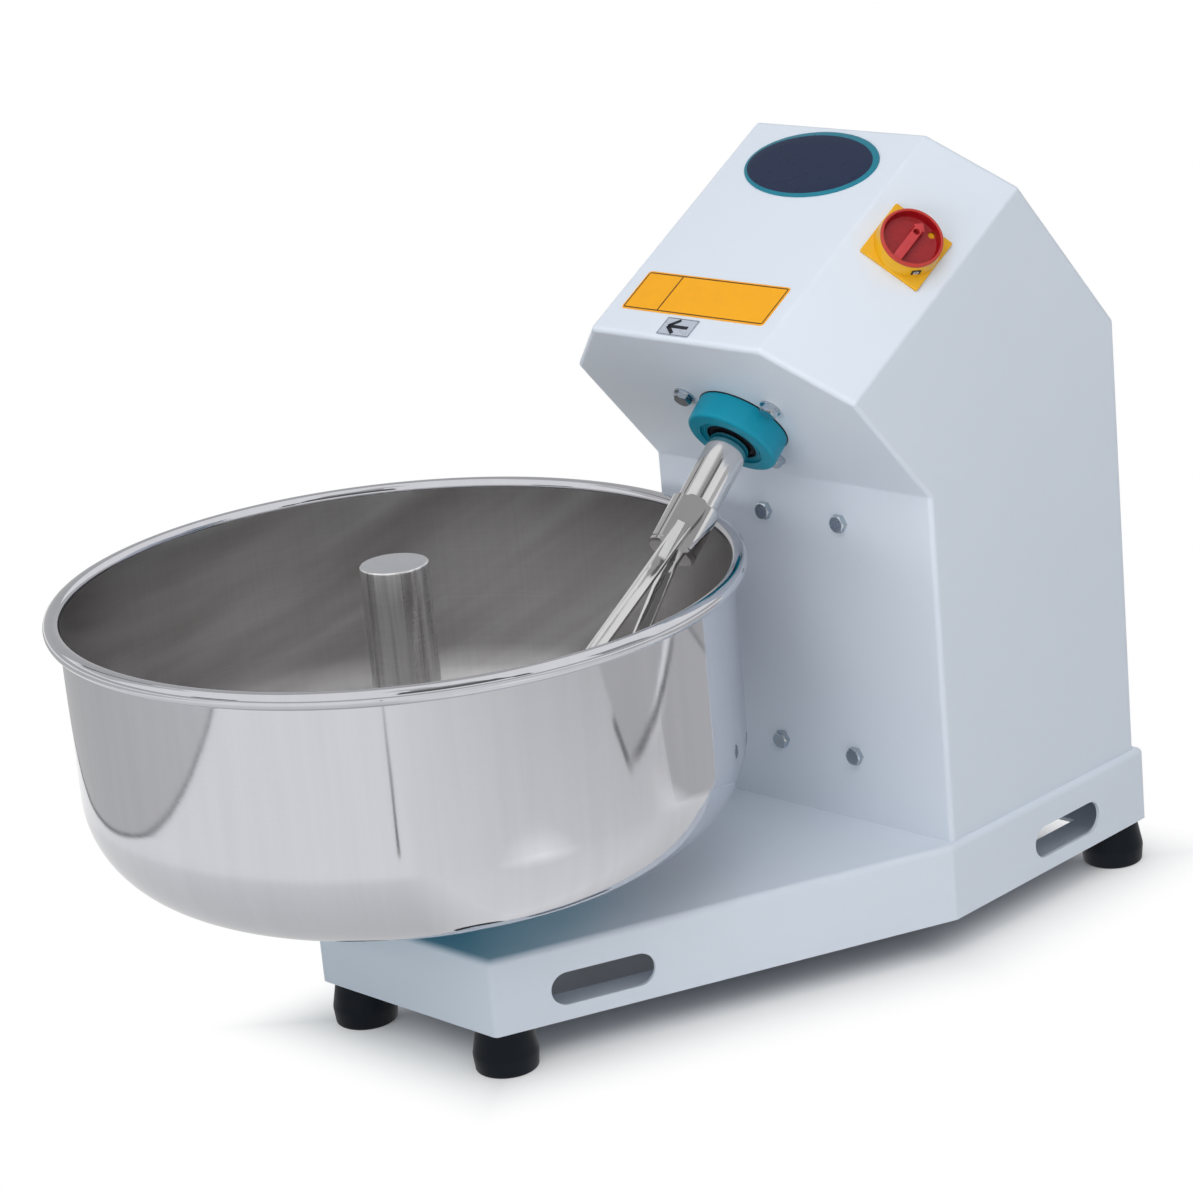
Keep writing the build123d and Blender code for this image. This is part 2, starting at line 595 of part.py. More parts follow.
def column():
    """Folded column and head, its rear cover and their fasteners."""
    shell = housing_block(0) - housing_block(COLUMN_SHEET)
    inner_x = COLUMN_WIDTH / 2 - FLOOR_FLANGE
    floor_mouth = block(
        (-inner_x, inner_x),
        (FLOOR_FLANGE, COLUMN_DEPTH - FLOOR_FLANGE),
        (BASE_TOP - CUT_PAST, BASE_TOP + CUT_PAST),
    )
    rear_x = COLUMN_WIDTH / 2 - REAR_FLANGE
    rear_mouth = block(
        (-rear_x, rear_x),
        (COLUMN_DEPTH - CUT_PAST, COLUMN_DEPTH + CUT_PAST),
        (BASE_TOP + REAR_FLANGE, BACK_TOP_Z - REAR_FLANGE),
    )
    shell = shell - floor_mouth - rear_mouth
    shell = cut_at(shell, wall_bolt_places(), hole(M8, CUT_PAST))
    shell = cut_at(shell, column_bolt_places(), hole(M8, CUT_PAST))
    shell = cut_at(shell, rear_screw_places(), hole(M5, CUT_PAST))
    nose_cut = [disc(BOSS_RADIUS + HOLE_CLEARANCE, -CUT_PAST, CUT_PAST)]
    nose_cut += [place * hole(M8, CUT_PAST) for place in nose_bolt_places()]
    shell = shell - [NOSE_PLANE.location * tool for tool in nose_cut]
    shell = shell - SWITCH_PLANE.location * disc(SWITCH_HOLE_RADIUS, -CUT_PAST, CUT_PAST)
    shell = shell - gland_plane().location * disc(GLAND_RADIUS + HOLE_CLEARANCE, -CUT_PAST, CUT_PAST)

    cover_x = COLUMN_WIDTH / 2 - REAR_COVER_MARGIN
    cover = block(
        (-cover_x, cover_x),
        (COLUMN_DEPTH, COLUMN_DEPTH + REAR_COVER_SHEET),
        (BASE_TOP + REAR_COVER_MARGIN, BACK_TOP_Z - REAR_COVER_MARGIN),
    )
    cover = fillet(cover.edges().filter_by(Axis.Y), COLUMN_BEND)
    cover = cut_at(cover, rear_screw_places(), hole(M5, CUT_PAST))
    louvre = extrude(SlotOverall(LOUVRE_LENGTH, LOUVRE_HEIGHT), CUT_PAST, both=True)
    first = MOTOR_Z - LOUVRE_PITCH * (LOUVRE_COUNT - 1) / 2
    rows = [
        Plane(origin=(0, COLUMN_DEPTH, first + i * LOUVRE_PITCH), x_dir=(1, 0, 0), z_dir=(0, -1, 0)).location
        for i in range(LOUVRE_COUNT)
    ]
    cover = cut_at(cover, rows, louvre)
    screw_length = REAR_COVER_SHEET + COLUMN_SHEET + THREAD_PAST_NUT
    return {
        "column_shell": shell,
        "rear_cover": cover,
        "rear_cover_screws": placed(rear_screw_places(), [pan_screw(M5, screw_length)]),
        "column_fasteners": placed(column_bolt_places(), through_bolt(M8, COLUMN_SHEET + BASE_SHEET)),
    }


def gland_plane():
    """Place of the cable gland on the left wall, z axis outwards."""
    middle = (-COLUMN_WIDTH / 2, GLAND_Y, BASE_TOP + GLAND_OVER_BASE)
    return Plane(origin=middle, x_dir=(0, 1, 0), z_dir=(-1, 0, 0))


def cable_gland():
    """Moulded cable gland with its lock nut inside the wall."""
    body = hexagon(GLAND_NUT, 0, GLAND_HEX_HEIGHT) + disc(GLAND_RADIUS, -GLAND_TAIL, 0)
    dome = disc(GLAND_DOME_RADIUS, GLAND_HEX_HEIGHT, GLAND_REACH)
    body += fillet(dome.edges().group_by(Axis.Z)[-1], GLAND_DOME_ROUND)
    body -= disc(GLAND_BORE, -GLAND_TAIL - CUT_PAST, GLAND_REACH + CUT_PAST)
    nut = hexagon(GLAND_NUT, -COLUMN_SHEET - GLAND_LOCK_NUT, -COLUMN_SHEET)
    nut -= disc(GLAND_RADIUS + RUNNING_CLEARANCE, -GLAND_TAIL, CUT_PAST)
    return {"cable_gland": placed([gland_plane().location], [body, nut])}


def bowl_group():
    """Bowl, centre post and spindle, turning together, and the bearing housing that carries them."""
    outer_r = BOWL_RADIUS
    inner_r = BOWL_RADIUS - BOWL_SHEET
    floor = BOWL_BOTTOM + BOWL_SHEET
    bend = BOWL_BOTTOM + BOWL_CORNER
    inner_corner = BOWL_CORNER - BOWL_SHEET
    lean = sqrt(0.5)
    outer_arc = ThreePointArc(
        (outer_r - BOWL_CORNER, 0, BOWL_BOTTOM),
        (outer_r - BOWL_CORNER * (1 - lean), 0, bend - BOWL_CORNER * lean),
        (outer_r, 0, bend),
    )
    inner_arc = ThreePointArc(
        (inner_r, 0, bend),
        (inner_r - inner_corner * (1 - lean), 0, bend - inner_corner * lean),
        (inner_r - inner_corner, 0, floor),
    )
    edges = [
        Line((0, 0, BOWL_BOTTOM), outer_arc @ 0),
        outer_arc,
        Line(outer_arc @ 1, (outer_r, 0, RIM_HEIGHT)),
        Line((outer_r, 0, RIM_HEIGHT), (inner_r, 0, RIM_HEIGHT)),
        Line((inner_r, 0, RIM_HEIGHT), inner_arc @ 0),
        inner_arc,
        Line(inner_arc @ 1, (0, 0, floor)),
        Line((0, 0, floor), (0, 0, BOWL_BOTTOM)),
    ]
    bowl = revolve(make_face(edges), axis=Axis.Z)
    bowl += Pos(0, 0, RIM_HEIGHT) * Torus(inner_r + RIM_BEAD, RIM_BEAD)
    bowl -= disc(STUD_RADIUS + SLIP_CLEARANCE, BOWL_BOTTOM - CUT_PAST, floor + CUT_PAST)
    bowl = BOWL_PLANE.location * bowl
    bowl = cut_at(bowl, bowl_screw_places(), hole(M6, CUT_PAST))

    post = disc(POST_RADIUS, floor, RIM_HEIGHT + POST_ABOVE_RIM)
    post = chamfer(post.edges().group_by(Axis.Z)[-1], POST_EDGE)
    post -= disc(STUD_RADIUS + SLIP_CLEARANCE, floor - CUT_PAST, floor + STUD_LENGTH)

    tail_end = BASE_TOP - SPINDLE_TAIL
    thread_end = tail_end + nut_height(M10) + THREAD_PAST_NUT
    spindle = disc(SPINDLE_FLANGE_RADIUS, BOWL_BOTTOM - SPINDLE_FLANGE, BOWL_BOTTOM)
    spindle += disc(SPINDLE_RADIUS, thread_end, BOWL_BOTTOM)
    spindle += disc(M10[0], tail_end, thread_end)
    spindle += disc(STUD_RADIUS, BOWL_BOTTOM, floor + STUD_LENGTH - CUT_PAST)
    spindle = BOWL_PLANE.location * spindle
    spindle = cut_at(spindle, bowl_screw_places(), disc(M6[0], -SPINDLE_FLANGE * 2, CUT_PAST))
    screw_length = BOWL_SHEET + SPINDLE_FLANGE - HOLE_CLEARANCE
    tail_nut = Pos(0, 0, thread_end) * hex_nut(M10)

    housing = disc(HUB_FLANGE_RADIUS, BASE_TOP, BASE_TOP + HUB_FLANGE)
    housing += disc(HUB_RADIUS, BASE_TOP, HUB_TOP)
    housing -= disc(HUB_BEARING_RADIUS + RUNNING_CLEARANCE, BASE_TOP + HUB_LIP, HUB_TOP + CUT_PAST)
    housing -= disc(SPINDLE_RADIUS + CUT_PAST, BASE_TOP - CUT_PAST, HUB_TOP)
    housing = BOWL_PLANE.location * housing
    housing = cut_at(housing, hub_bolt_places(), hole(M8, HUB_FLANGE * 2))
    lower = BASE_TOP + HUB_LIP
    upper = HUB_TOP - HUB_LIP - HUB_BEARING_LENGTH
    inner = SPINDLE_RADIUS + RUNNING_CLEARANCE
    bearings = [ring(HUB_BEARING_RADIUS, inner, low, low + HUB_BEARING_LENGTH) for low in (lower, upper)]
    spacer = ring(HUB_BEARING_RADIUS, HUB_BEARING_RADIUS - BASE_SHEET, lower + HUB_BEARING_LENGTH, upper)
    return {
        "bowl": bowl,
        "centre_post": BOWL_PLANE.location * post,
        "bowl_spindle": spindle,
        "spindle_nut": BOWL_PLANE.location * tail_nut,
        "bowl_screws": placed(bowl_screw_places(), [pan_screw(M6, screw_length)]),
        "bowl_bearing_housing": housing,
        "bowl_bearings": placed([BOWL_PLANE.location], bearings),
        "bowl_bearing_spacer": BOWL_PLANE.location * spacer,
        "bowl_housing_fasteners": placed(hub_bolt_places(), through_bolt(M8, HUB_FLANGE + BASE_SHEET)),
    }


def eased(value, low, high):
    """Share of the way from low to high, 0 to 1, starting and ending gently."""
    share = max(0.0, min(1.0, (value - low) / (high - low)))
    return share * share * (3 - 2 * share)


def tine_section(along, scale=1.0):
    """Section of a tine at a distance along the shaft, drawn in to its middle by a scale."""
    spread = eased(along, HEAD_END, TINE_SPREAD_END)
    lean = (along - ARM_NARROW_END) / (TINE_END - ARM_NARROW_END)
    seat_middle = ARM_SEAT + ARM_THICKNESS / 2
    reach = seat_middle + (TINE_REACH - seat_middle) * spread
    thickness = ARM_THICKNESS + (TINE_THICKNESS - ARM_THICKNESS) * spread
    outline = RectangleRounded(thickness * scale, TINE_WIDTH * scale, TINE_CORNER * scale)
    return Pos(reach, TINE_SIDE * lean, along) * outline


def fork_arm():
    """One arm on the +x side of the shaft: a plate on its seat, drawn in to a tine that leans aside."""
    wide, slim = ARM_WIDTH / 2, TINE_WIDTH / 2
    right_side = [(wide, HEAD_START), (wide, ARM_NARROW_START), (slim, ARM_NARROW_END)]
    left_side = [(-across, along) for across, along in reversed(right_side)]
    face = Plane.YZ * make_face(Polyline(*right_side, *left_side, close=True))
    plate = Pos(ARM_SEAT, 0, 0) * extrude(face, ARM_THICKNESS)
    top = plate.edges().filter_by(Axis.X).group_by(Axis.Z)[0]
    plate = fillet(top, ARM_CORNER)
    step = (TINE_END - ARM_NARROW_END) / TINE_STATIONS
    tine = loft([tine_section(ARM_NARROW_END + step * i) for i in range(TINE_STATIONS + 1)])
    tip_scale = 1 - TINE_TIP / TINE_THICKNESS
    tip_end = Pos(0, 0, TINE_TIP) * tine_section(TINE_END, tip_scale)
    tip = loft([tine_section(TINE_END), tip_end], ruled=True)
    outside = ARM_SEAT + ARM_THICKNESS
    rib = block(
        (outside - ARM_RIB_HEIGHT, outside + ARM_RIB_HEIGHT),
        (ARM_RIB_SIDE - ARM_RIB_WIDTH / 2, ARM_RIB_SIDE + ARM_RIB_WIDTH / 2),
        (ARM_RIB_START, ARM_RIB_END),
    )
    seat = block((0, ARM_SEAT), (-ARM_WIDTH, ARM_WIDTH), (HEAD_START - CUT_PAST, HEAD_END))
    return plate + tine + tip + rib - seat


def fork_group():
    """Fork shaft with its head, two arms, worm wheel, key and lock nut, turning together."""
    wheel_low = -GEAR_DEPTH - WHEEL_FACE / 2
    tail_end = TAIL_BOSS_END - LOCK_NUT_LENGTH - THREAD_PAST_NUT
    shaft = disc(HEAD_RADIUS, HEAD_START, HEAD_END) + disc(SHAFT_RADIUS, wheel_low, HEAD_START)
    shaft = chamfer(shaft.edges().group_by(Axis.Z)[-1], POST_EDGE)
    shaft += disc(SHAFT_TAIL_RADIUS, tail_end, wheel_low)
    groove = HEAD_END - HEAD_GROOVE_FROM_END
    shaft -= ring(HEAD_RADIUS * 2, HEAD_RADIUS - HEAD_GROOVE, groove - HEAD_GROOVE, groove)
    for side in (-1, 1):
        flat = sorted((side * ARM_SEAT, side * HEAD_RADIUS * 2))
        shaft -= block(flat, (-HEAD_RADIUS, HEAD_RADIUS), (HEAD_START, HEAD_END + CUT_PAST))
    key_length = WHEEL_FACE - CUT_PAST
    key_low = -GEAR_DEPTH - key_length / 2
    key_x = (SHAFT_RADIUS - KEY_HEIGHT / 2, SHAFT_RADIUS + KEY_HEIGHT / 2)
    key = block(key_x, (-KEY_WIDTH / 2, KEY_WIDTH / 2), (key_low, key_low + key_length))
    shaft -= Rot(0, 0, wheel_phase() - FORK_ANGLE) * key

    wheel = disc(WHEEL_TIP_RADIUS, wheel_low, wheel_low + WHEEL_FACE)
    bore_span = (wheel_low - CUT_PAST, wheel_low + WHEEL_FACE + CUT_PAST)
    wheel -= disc(SHAFT_RADIUS + SLIP_CLEARANCE, *bore_span)
    key_room = KEY_WIDTH / 2 + SLIP_CLEARANCE
    wheel -= block((0, key_x[1] + SLIP_CLEARANCE), (-key_room, key_room), bore_span)
    pitch_angle = 2 * pi / WHEEL_TEETH
    root_gap = (pitch_angle * WHEEL_ROOT_RADIUS - WHEEL_TOOTH_ROOT) / 2
    tip_gap = (pitch_angle * WHEEL_TIP_RADIUS - WHEEL_TOOTH_TIP) / 2
    slope = (tip_gap - root_gap) / (WHEEL_TIP_RADIUS - WHEEL_ROOT_RADIUS)
    far = WHEEL_TIP_RADIUS + CUT_PAST
    far_gap = tip_gap + slope * CUT_PAST
    gap = Polyline(
        (-root_gap, -WHEEL_ROOT_RADIUS),
        (root_gap, -WHEEL_ROOT_RADIUS),
        (far_gap, -far),
        (-far_gap, -far),
        close=True,
    )
    gap = Pos(0, 0, -GEAR_DEPTH) * extrude(make_face(gap), WHEEL_FACE, both=True)
    wheel = cut_at(wheel, [Rot(0, 0, 360 / WHEEL_TEETH * i) for i in range(WHEEL_TEETH)], gap)

    nut_low = TAIL_BOSS_END - LOCK_NUT_LENGTH
    nut = ring(LOCK_NUT_RADIUS, SHAFT_TAIL_RADIUS + SLIP_CLEARANCE, nut_low, TAIL_BOSS_END)
    notch_x = (LOCK_NUT_RADIUS - LOCK_NUT_NOTCH, LOCK_NUT_RADIUS + LOCK_NUT_NOTCH)
    nut_notch = block(notch_x, (-LOCK_NUT_NOTCH, LOCK_NUT_NOTCH), (tail_end, TAIL_BOSS_END + CUT_PAST))
    nut = cut_at(nut, [Rot(0, 0, 90 * i) for i in range(4)], nut_notch)
    nut = Pos(0, 0, -MOVING_GAP) * nut
    fork = NOSE_PLANE.location * Rot(0, 0, FORK_ANGLE)
    return {
        "fork_shaft": fork * shaft,
        "fork_arm_upper": fork * fork_arm(),
        "fork_arm_lower": fork * Rot(0, 0, 180) * fork_arm(),
        "worm_wheel": NOSE_PLANE.location * Rot(0, 0, wheel_phase()) * wheel,
        "wheel_key": NOSE_PLANE.location * Rot(0, 0, wheel_phase()) * key,
        "fork_lock_nut": fork * nut,
    }


def wheel_phase():
    """Turn that sets the key over the shaft's keyway and leaves a tooth gap facing the worm."""
    step = 360 / WHEEL_TEETH
    return round(FORK_ANGLE / step) * step


def boss_and_gearbox():
    """Boss with its bearing and seal, the gearbox behind the nose panel, its cover and bolts."""
    boss = disc(BOSS_RADIUS, BOX_FRONT - BOSS_FLANGE, BOSS_PROUD)
    boss = fillet(boss.edges().group_by(Axis.Z)[-1], BOSS_EDGE)
    boss += disc(BOSS_FLANGE_RADIUS, BOX_FRONT - BOSS_FLANGE, BOX_FRONT)
    bearing_low = BOX_FRONT - BOSS_FLANGE
    bearing_high = bearing_low + FORK_BEARING_LENGTH
    boss -= disc(FORK_BEARING_RADIUS + RUNNING_CLEARANCE, bearing_low - CUT_PAST, bearing_high)
    boss -= disc(SHAFT_RADIUS + BOSS_EDGE, bearing_low, BOSS_PROUD + CUT_PAST)
    boss -= disc(SEAL_RADIUS + RUNNING_CLEARANCE, SEAL_FACE - SEAL_LENGTH, BOSS_PROUD + CUT_PAST)
    shaft_hole = SHAFT_RADIUS + RUNNING_CLEARANCE
    bearing = ring(FORK_BEARING_RADIUS, shaft_hole, bearing_low, bearing_high)
    seal = ring(SEAL_RADIUS, shaft_hole, SEAL_FACE - SEAL_LENGTH, SEAL_FACE)
    groove_r = (SEAL_RADIUS + SHAFT_RADIUS) / 2
    half = SEAL_GROOVE / 2
    seal -= ring(groove_r + half, groove_r - half, SEAL_FACE - SEAL_GROOVE_DEPTH, SEAL_FACE + CUT_PAST)

    wall = GEARBOX_WALL
    box = block(
        (-BOX_HALF_WIDTH - wall, BOX_HALF_WIDTH + wall),
        (BOX_BOTTOM - wall, BOX_TOP + wall),
        (BOX_BACK, -COLUMN_SHEET),
    )
    bosses = [
        disc(WORM_BOSS_RADIUS, BOX_HALF_WIDTH, WORM_BOSS_END),
        disc(WORM_BOSS_RADIUS, -WORM_BOSS_END, -BOX_HALF_WIDTH),
    ]
    worm_in_nose = Plane(origin=(0, -CENTRE_DISTANCE, -GEAR_DEPTH), x_dir=(0, 1, 0), z_dir=(1, 0, 0)).location
    box += [worm_in_nose * shape for shape in bosses]
    box -= block((-BOX_HALF_WIDTH, BOX_HALF_WIDTH), (BOX_BOTTOM, BOX_TOP), (BOX_BACK - CUT_PAST, BOX_FRONT))
    worm_way = WORM_BOSS_END + CUT_PAST
    box -= worm_in_nose * disc(WORM_BEARING_RADIUS + RUNNING_CLEARANCE, -worm_way, worm_way)
    box -= disc(BOSS_RADIUS + SLIP_CLEARANCE, BOX_FRONT - CUT_PAST, CUT_PAST)
    box = cut_at(box, nose_bolt_places(), disc(M8[0] + RUNNING_CLEARANCE, BOX_FRONT - CUT_PAST, CUT_PAST))

    cover = block(
        (-BOX_HALF_WIDTH - wall, BOX_HALF_WIDTH + wall),
        (BOX_BOTTOM - wall, BOX_TOP + wall),
        (COVER_BACK, BOX_BACK),
    )
    cover += disc(TAIL_BEARING_RADIUS + GEARBOX_WALL, TAIL_BOSS_END, BOX_BACK)
    cover -= disc(TAIL_BEARING_RADIUS + RUNNING_CLEARANCE, TAIL_BOSS_END - CUT_PAST, TAIL_BEARING_START)
    cover -= disc(SHAFT_RADIUS + BOSS_EDGE, TAIL_BOSS_END - CUT_PAST, BOX_BACK + CUT_PAST)
    screw_x = BOX_HALF_WIDTH + wall / 2
    screw_y = (BOX_BOTTOM - wall / 2, (BOX_BOTTOM + BOX_TOP) / 2, BOX_TOP + wall / 2)
    cover_places = [
        NOSE_PLANE.location * Pos(x, y, COVER_BACK) * Rot(180, 0, 0)
        for x in (-screw_x, screw_x)
        for y in screw_y
    ]
    cover_tap = disc(M5[0] + SLIP_CLEARANCE, -GEARBOX_COVER * 2, CUT_PAST)
    cover = cut_at(NOSE_PLANE.location * cover, cover_places, cover_tap)
    box = cut_at(NOSE_PLANE.location * box, cover_places, cover_tap)
    tail_hole = SHAFT_TAIL_RADIUS + RUNNING_CLEARANCE
    tail = ring(TAIL_BEARING_RADIUS, tail_hole, TAIL_BEARING_START - TAIL_BEARING_LENGTH, TAIL_BEARING_START)

    worm_hole = WORM_SHAFT_RADIUS + RUNNING_CLEARANCE
    worm_bearing = ring(WORM_BEARING_RADIUS, worm_hole, WORM_BOSS_END - WORM_BEARING_LENGTH, WORM_BOSS_END)
    cap = disc(WORM_BOSS_RADIUS, WORM_BOSS_END, WORM_BOSS_END + END_CAP)
    cap_way = (WORM_BOSS_END - CUT_PAST, WORM_BOSS_END + END_CAP + CUT_PAST)
    ring_cap = cap - disc(worm_hole + MOVING_GAP, *cap_way)
    bolt_length = COLUMN_SHEET + GEARBOX_FRONT_WALL
    head = [Pos(0, 0, WASHER_THICKNESS) * hex_bolt(M8, bolt_length + WASHER_THICKNESS)]
    washer = [ring(WASHER_RADIUS, M8[0] + SLIP_CLEARANCE, 0, WASHER_THICKNESS)]
    nose_places = [NOSE_PLANE.location * place for place in nose_bolt_places()]
    flipped = WORM_PLANE.location * Rot(180, 0, 0)
    return {
        "fork_bearing_housing": NOSE_PLANE.location * boss,
        "fork_bearing_lower": NOSE_PLANE.location * bearing,
        "fork_bearing_upper": NOSE_PLANE.location * tail,
        "fork_seal": NOSE_PLANE.location * seal,
        "gearbox_housing": box,
        "gearbox_cover": cover,
        "gearbox_cover_screws": placed(cover_places, [pan_screw(M5, GEARBOX_COVER * 2 - SCREW_END_GAP)]),
        "nose_bolts": placed(nose_places, head),
        "nose_washers": placed(nose_places, washer),
        "worm_bearings": placed([WORM_PLANE.location, flipped], [worm_bearing]),
        "worm_bearing_caps": Compound([flipped * cap, WORM_PLANE.location * ring_cap]),
    }


def pulley(pitch_radius, bore):
    """Single-groove V pulley about z, centred on z = 0."""
    half = PULLEY_WIDTH / 2
    wedge = tan(radians(BELT_WEDGE))
    top = pitch_radius + BELT_ABOVE_PITCH + PULLEY_RIM
    floor = pitch_radius + BELT_ABOVE_PITCH - BELT_HEIGHT - GROOVE_FLOOR
    mouth = BELT_WIDTH / 2 + BELT_GAP / cos(radians(BELT_WEDGE)) + PULLEY_RIM * wedge
    neck = mouth - (top - floor) * wedge
    groove = [(top, -mouth), (floor, -neck), (floor, neck), (top, mouth)]
    return turned([(bore, -half), (top, -half), *groove, (top, half), (bore, half)])


def worm_group():
    """Worm cut on its shaft, with the large pulley, turning together."""
    length = WORM_LEAD * WORM_TURNS
    path = Helix(WORM_LEAD, length, WORM_ROOT_RADIUS, center=(0, 0, -length / 2))
    depth = WORM_TIP_RADIUS - WORM_ROOT_RADIUS
    profile = Polyline(
        (-TOOTH_ROOT_GAP, -WORM_THREAD_ROOT / 2),
        (0, -WORM_THREAD_ROOT / 2),
        (depth, -WORM_THREAD_TIP / 2),
        (depth, WORM_THREAD_TIP / 2),
        (0, WORM_THREAD_ROOT / 2),
        (-TOOTH_ROOT_GAP, WORM_THREAD_ROOT / 2),
        close=True,
    )
    section = Plane(origin=path @ 0, x_dir=(1, 0, 0), z_dir=path % 0) * make_face(profile)
    thread = sweep(section, path=path, is_frenet=True)
    shoulder = WORM_BOSS_END - WORM_BEARING_LENGTH
    core = disc(WORM_ROOT_RADIUS, -shoulder + MOVING_GAP, shoulder - MOVING_GAP)
    shaft_end = BELT_X + PULLEY_WIDTH / 2
    shaft = disc(WORM_SHAFT_RADIUS, -WORM_BOSS_END + MOVING_GAP, shaft_end)
    wheel = pulley(WORM_PULLEY_RADIUS, WORM_SHAFT_RADIUS + RUNNING_CLEARANCE)
    return {
        "worm_shaft": WORM_PLANE.location * (core + thread + shaft),
        "worm_pulley": WORM_PLANE.location * Pos(0, 0, BELT_X) * wheel,
    }


def belt():
    """V belt round the two pulleys, drawn as a still loop."""
    rows = []
    for level, half in (
        (BELT_ABOVE_PITCH, BELT_WIDTH / 2),
        (BELT_ABOVE_PITCH - BELT_HEIGHT, BELT_WIDTH / 2 - BELT_HEIGHT * tan(radians(BELT_WEDGE))),
    ):
        circles = [
            Pos(WORM_CENTRE.Y, WORM_CENTRE.Z) * Circle(WORM_PULLEY_RADIUS + level),
            Pos(MOTOR_Y, MOTOR_Z) * Circle(MOTOR_PULLEY_RADIUS + level),
        ]
        loop = make_hull(circles[0].edges() + circles[1].edges())
        rows.append((loop, half))
    (outer, wide), (inner, narrow) = rows
    band = extrude(outer, wide, both=True) - extrude(inner, wide * 2, both=True)
    inner_edges = [
        edge
        for edge in band.edges()
        if abs(abs(edge.center().Z) - wide) < SLIP_CLEARANCE and inner_loop_edge(edge)
    ]
    band = chamfer(inner_edges, BELT_SLANT, wide - narrow)
    return {"v_belt": Plane(origin=(DRIVE_X + BELT_X, 0, 0), x_dir=(0, 1, 0), z_dir=(1, 0, 0)).location * band}


def inner_loop_edge(edge):
    """Whether a belt edge, drawn flat, lies on the inner loop: its middle is nearer a pulley line."""
    middle = edge.position_at(0.5)
    worm = Vector(WORM_CENTRE.Y, WORM_CENTRE.Z, middle.Z)
    motor = Vector(MOTOR_Y, MOTOR_Z, middle.Z)
    run = motor - worm
    share = max(0.0, min(1.0, (middle - worm).dot(run) / run.dot(run)))
    reach = (middle - worm - run * share).length
    wanted = WORM_PULLEY_RADIUS + (MOTOR_PULLEY_RADIUS - WORM_PULLEY_RADIUS) * share
    return reach < wanted


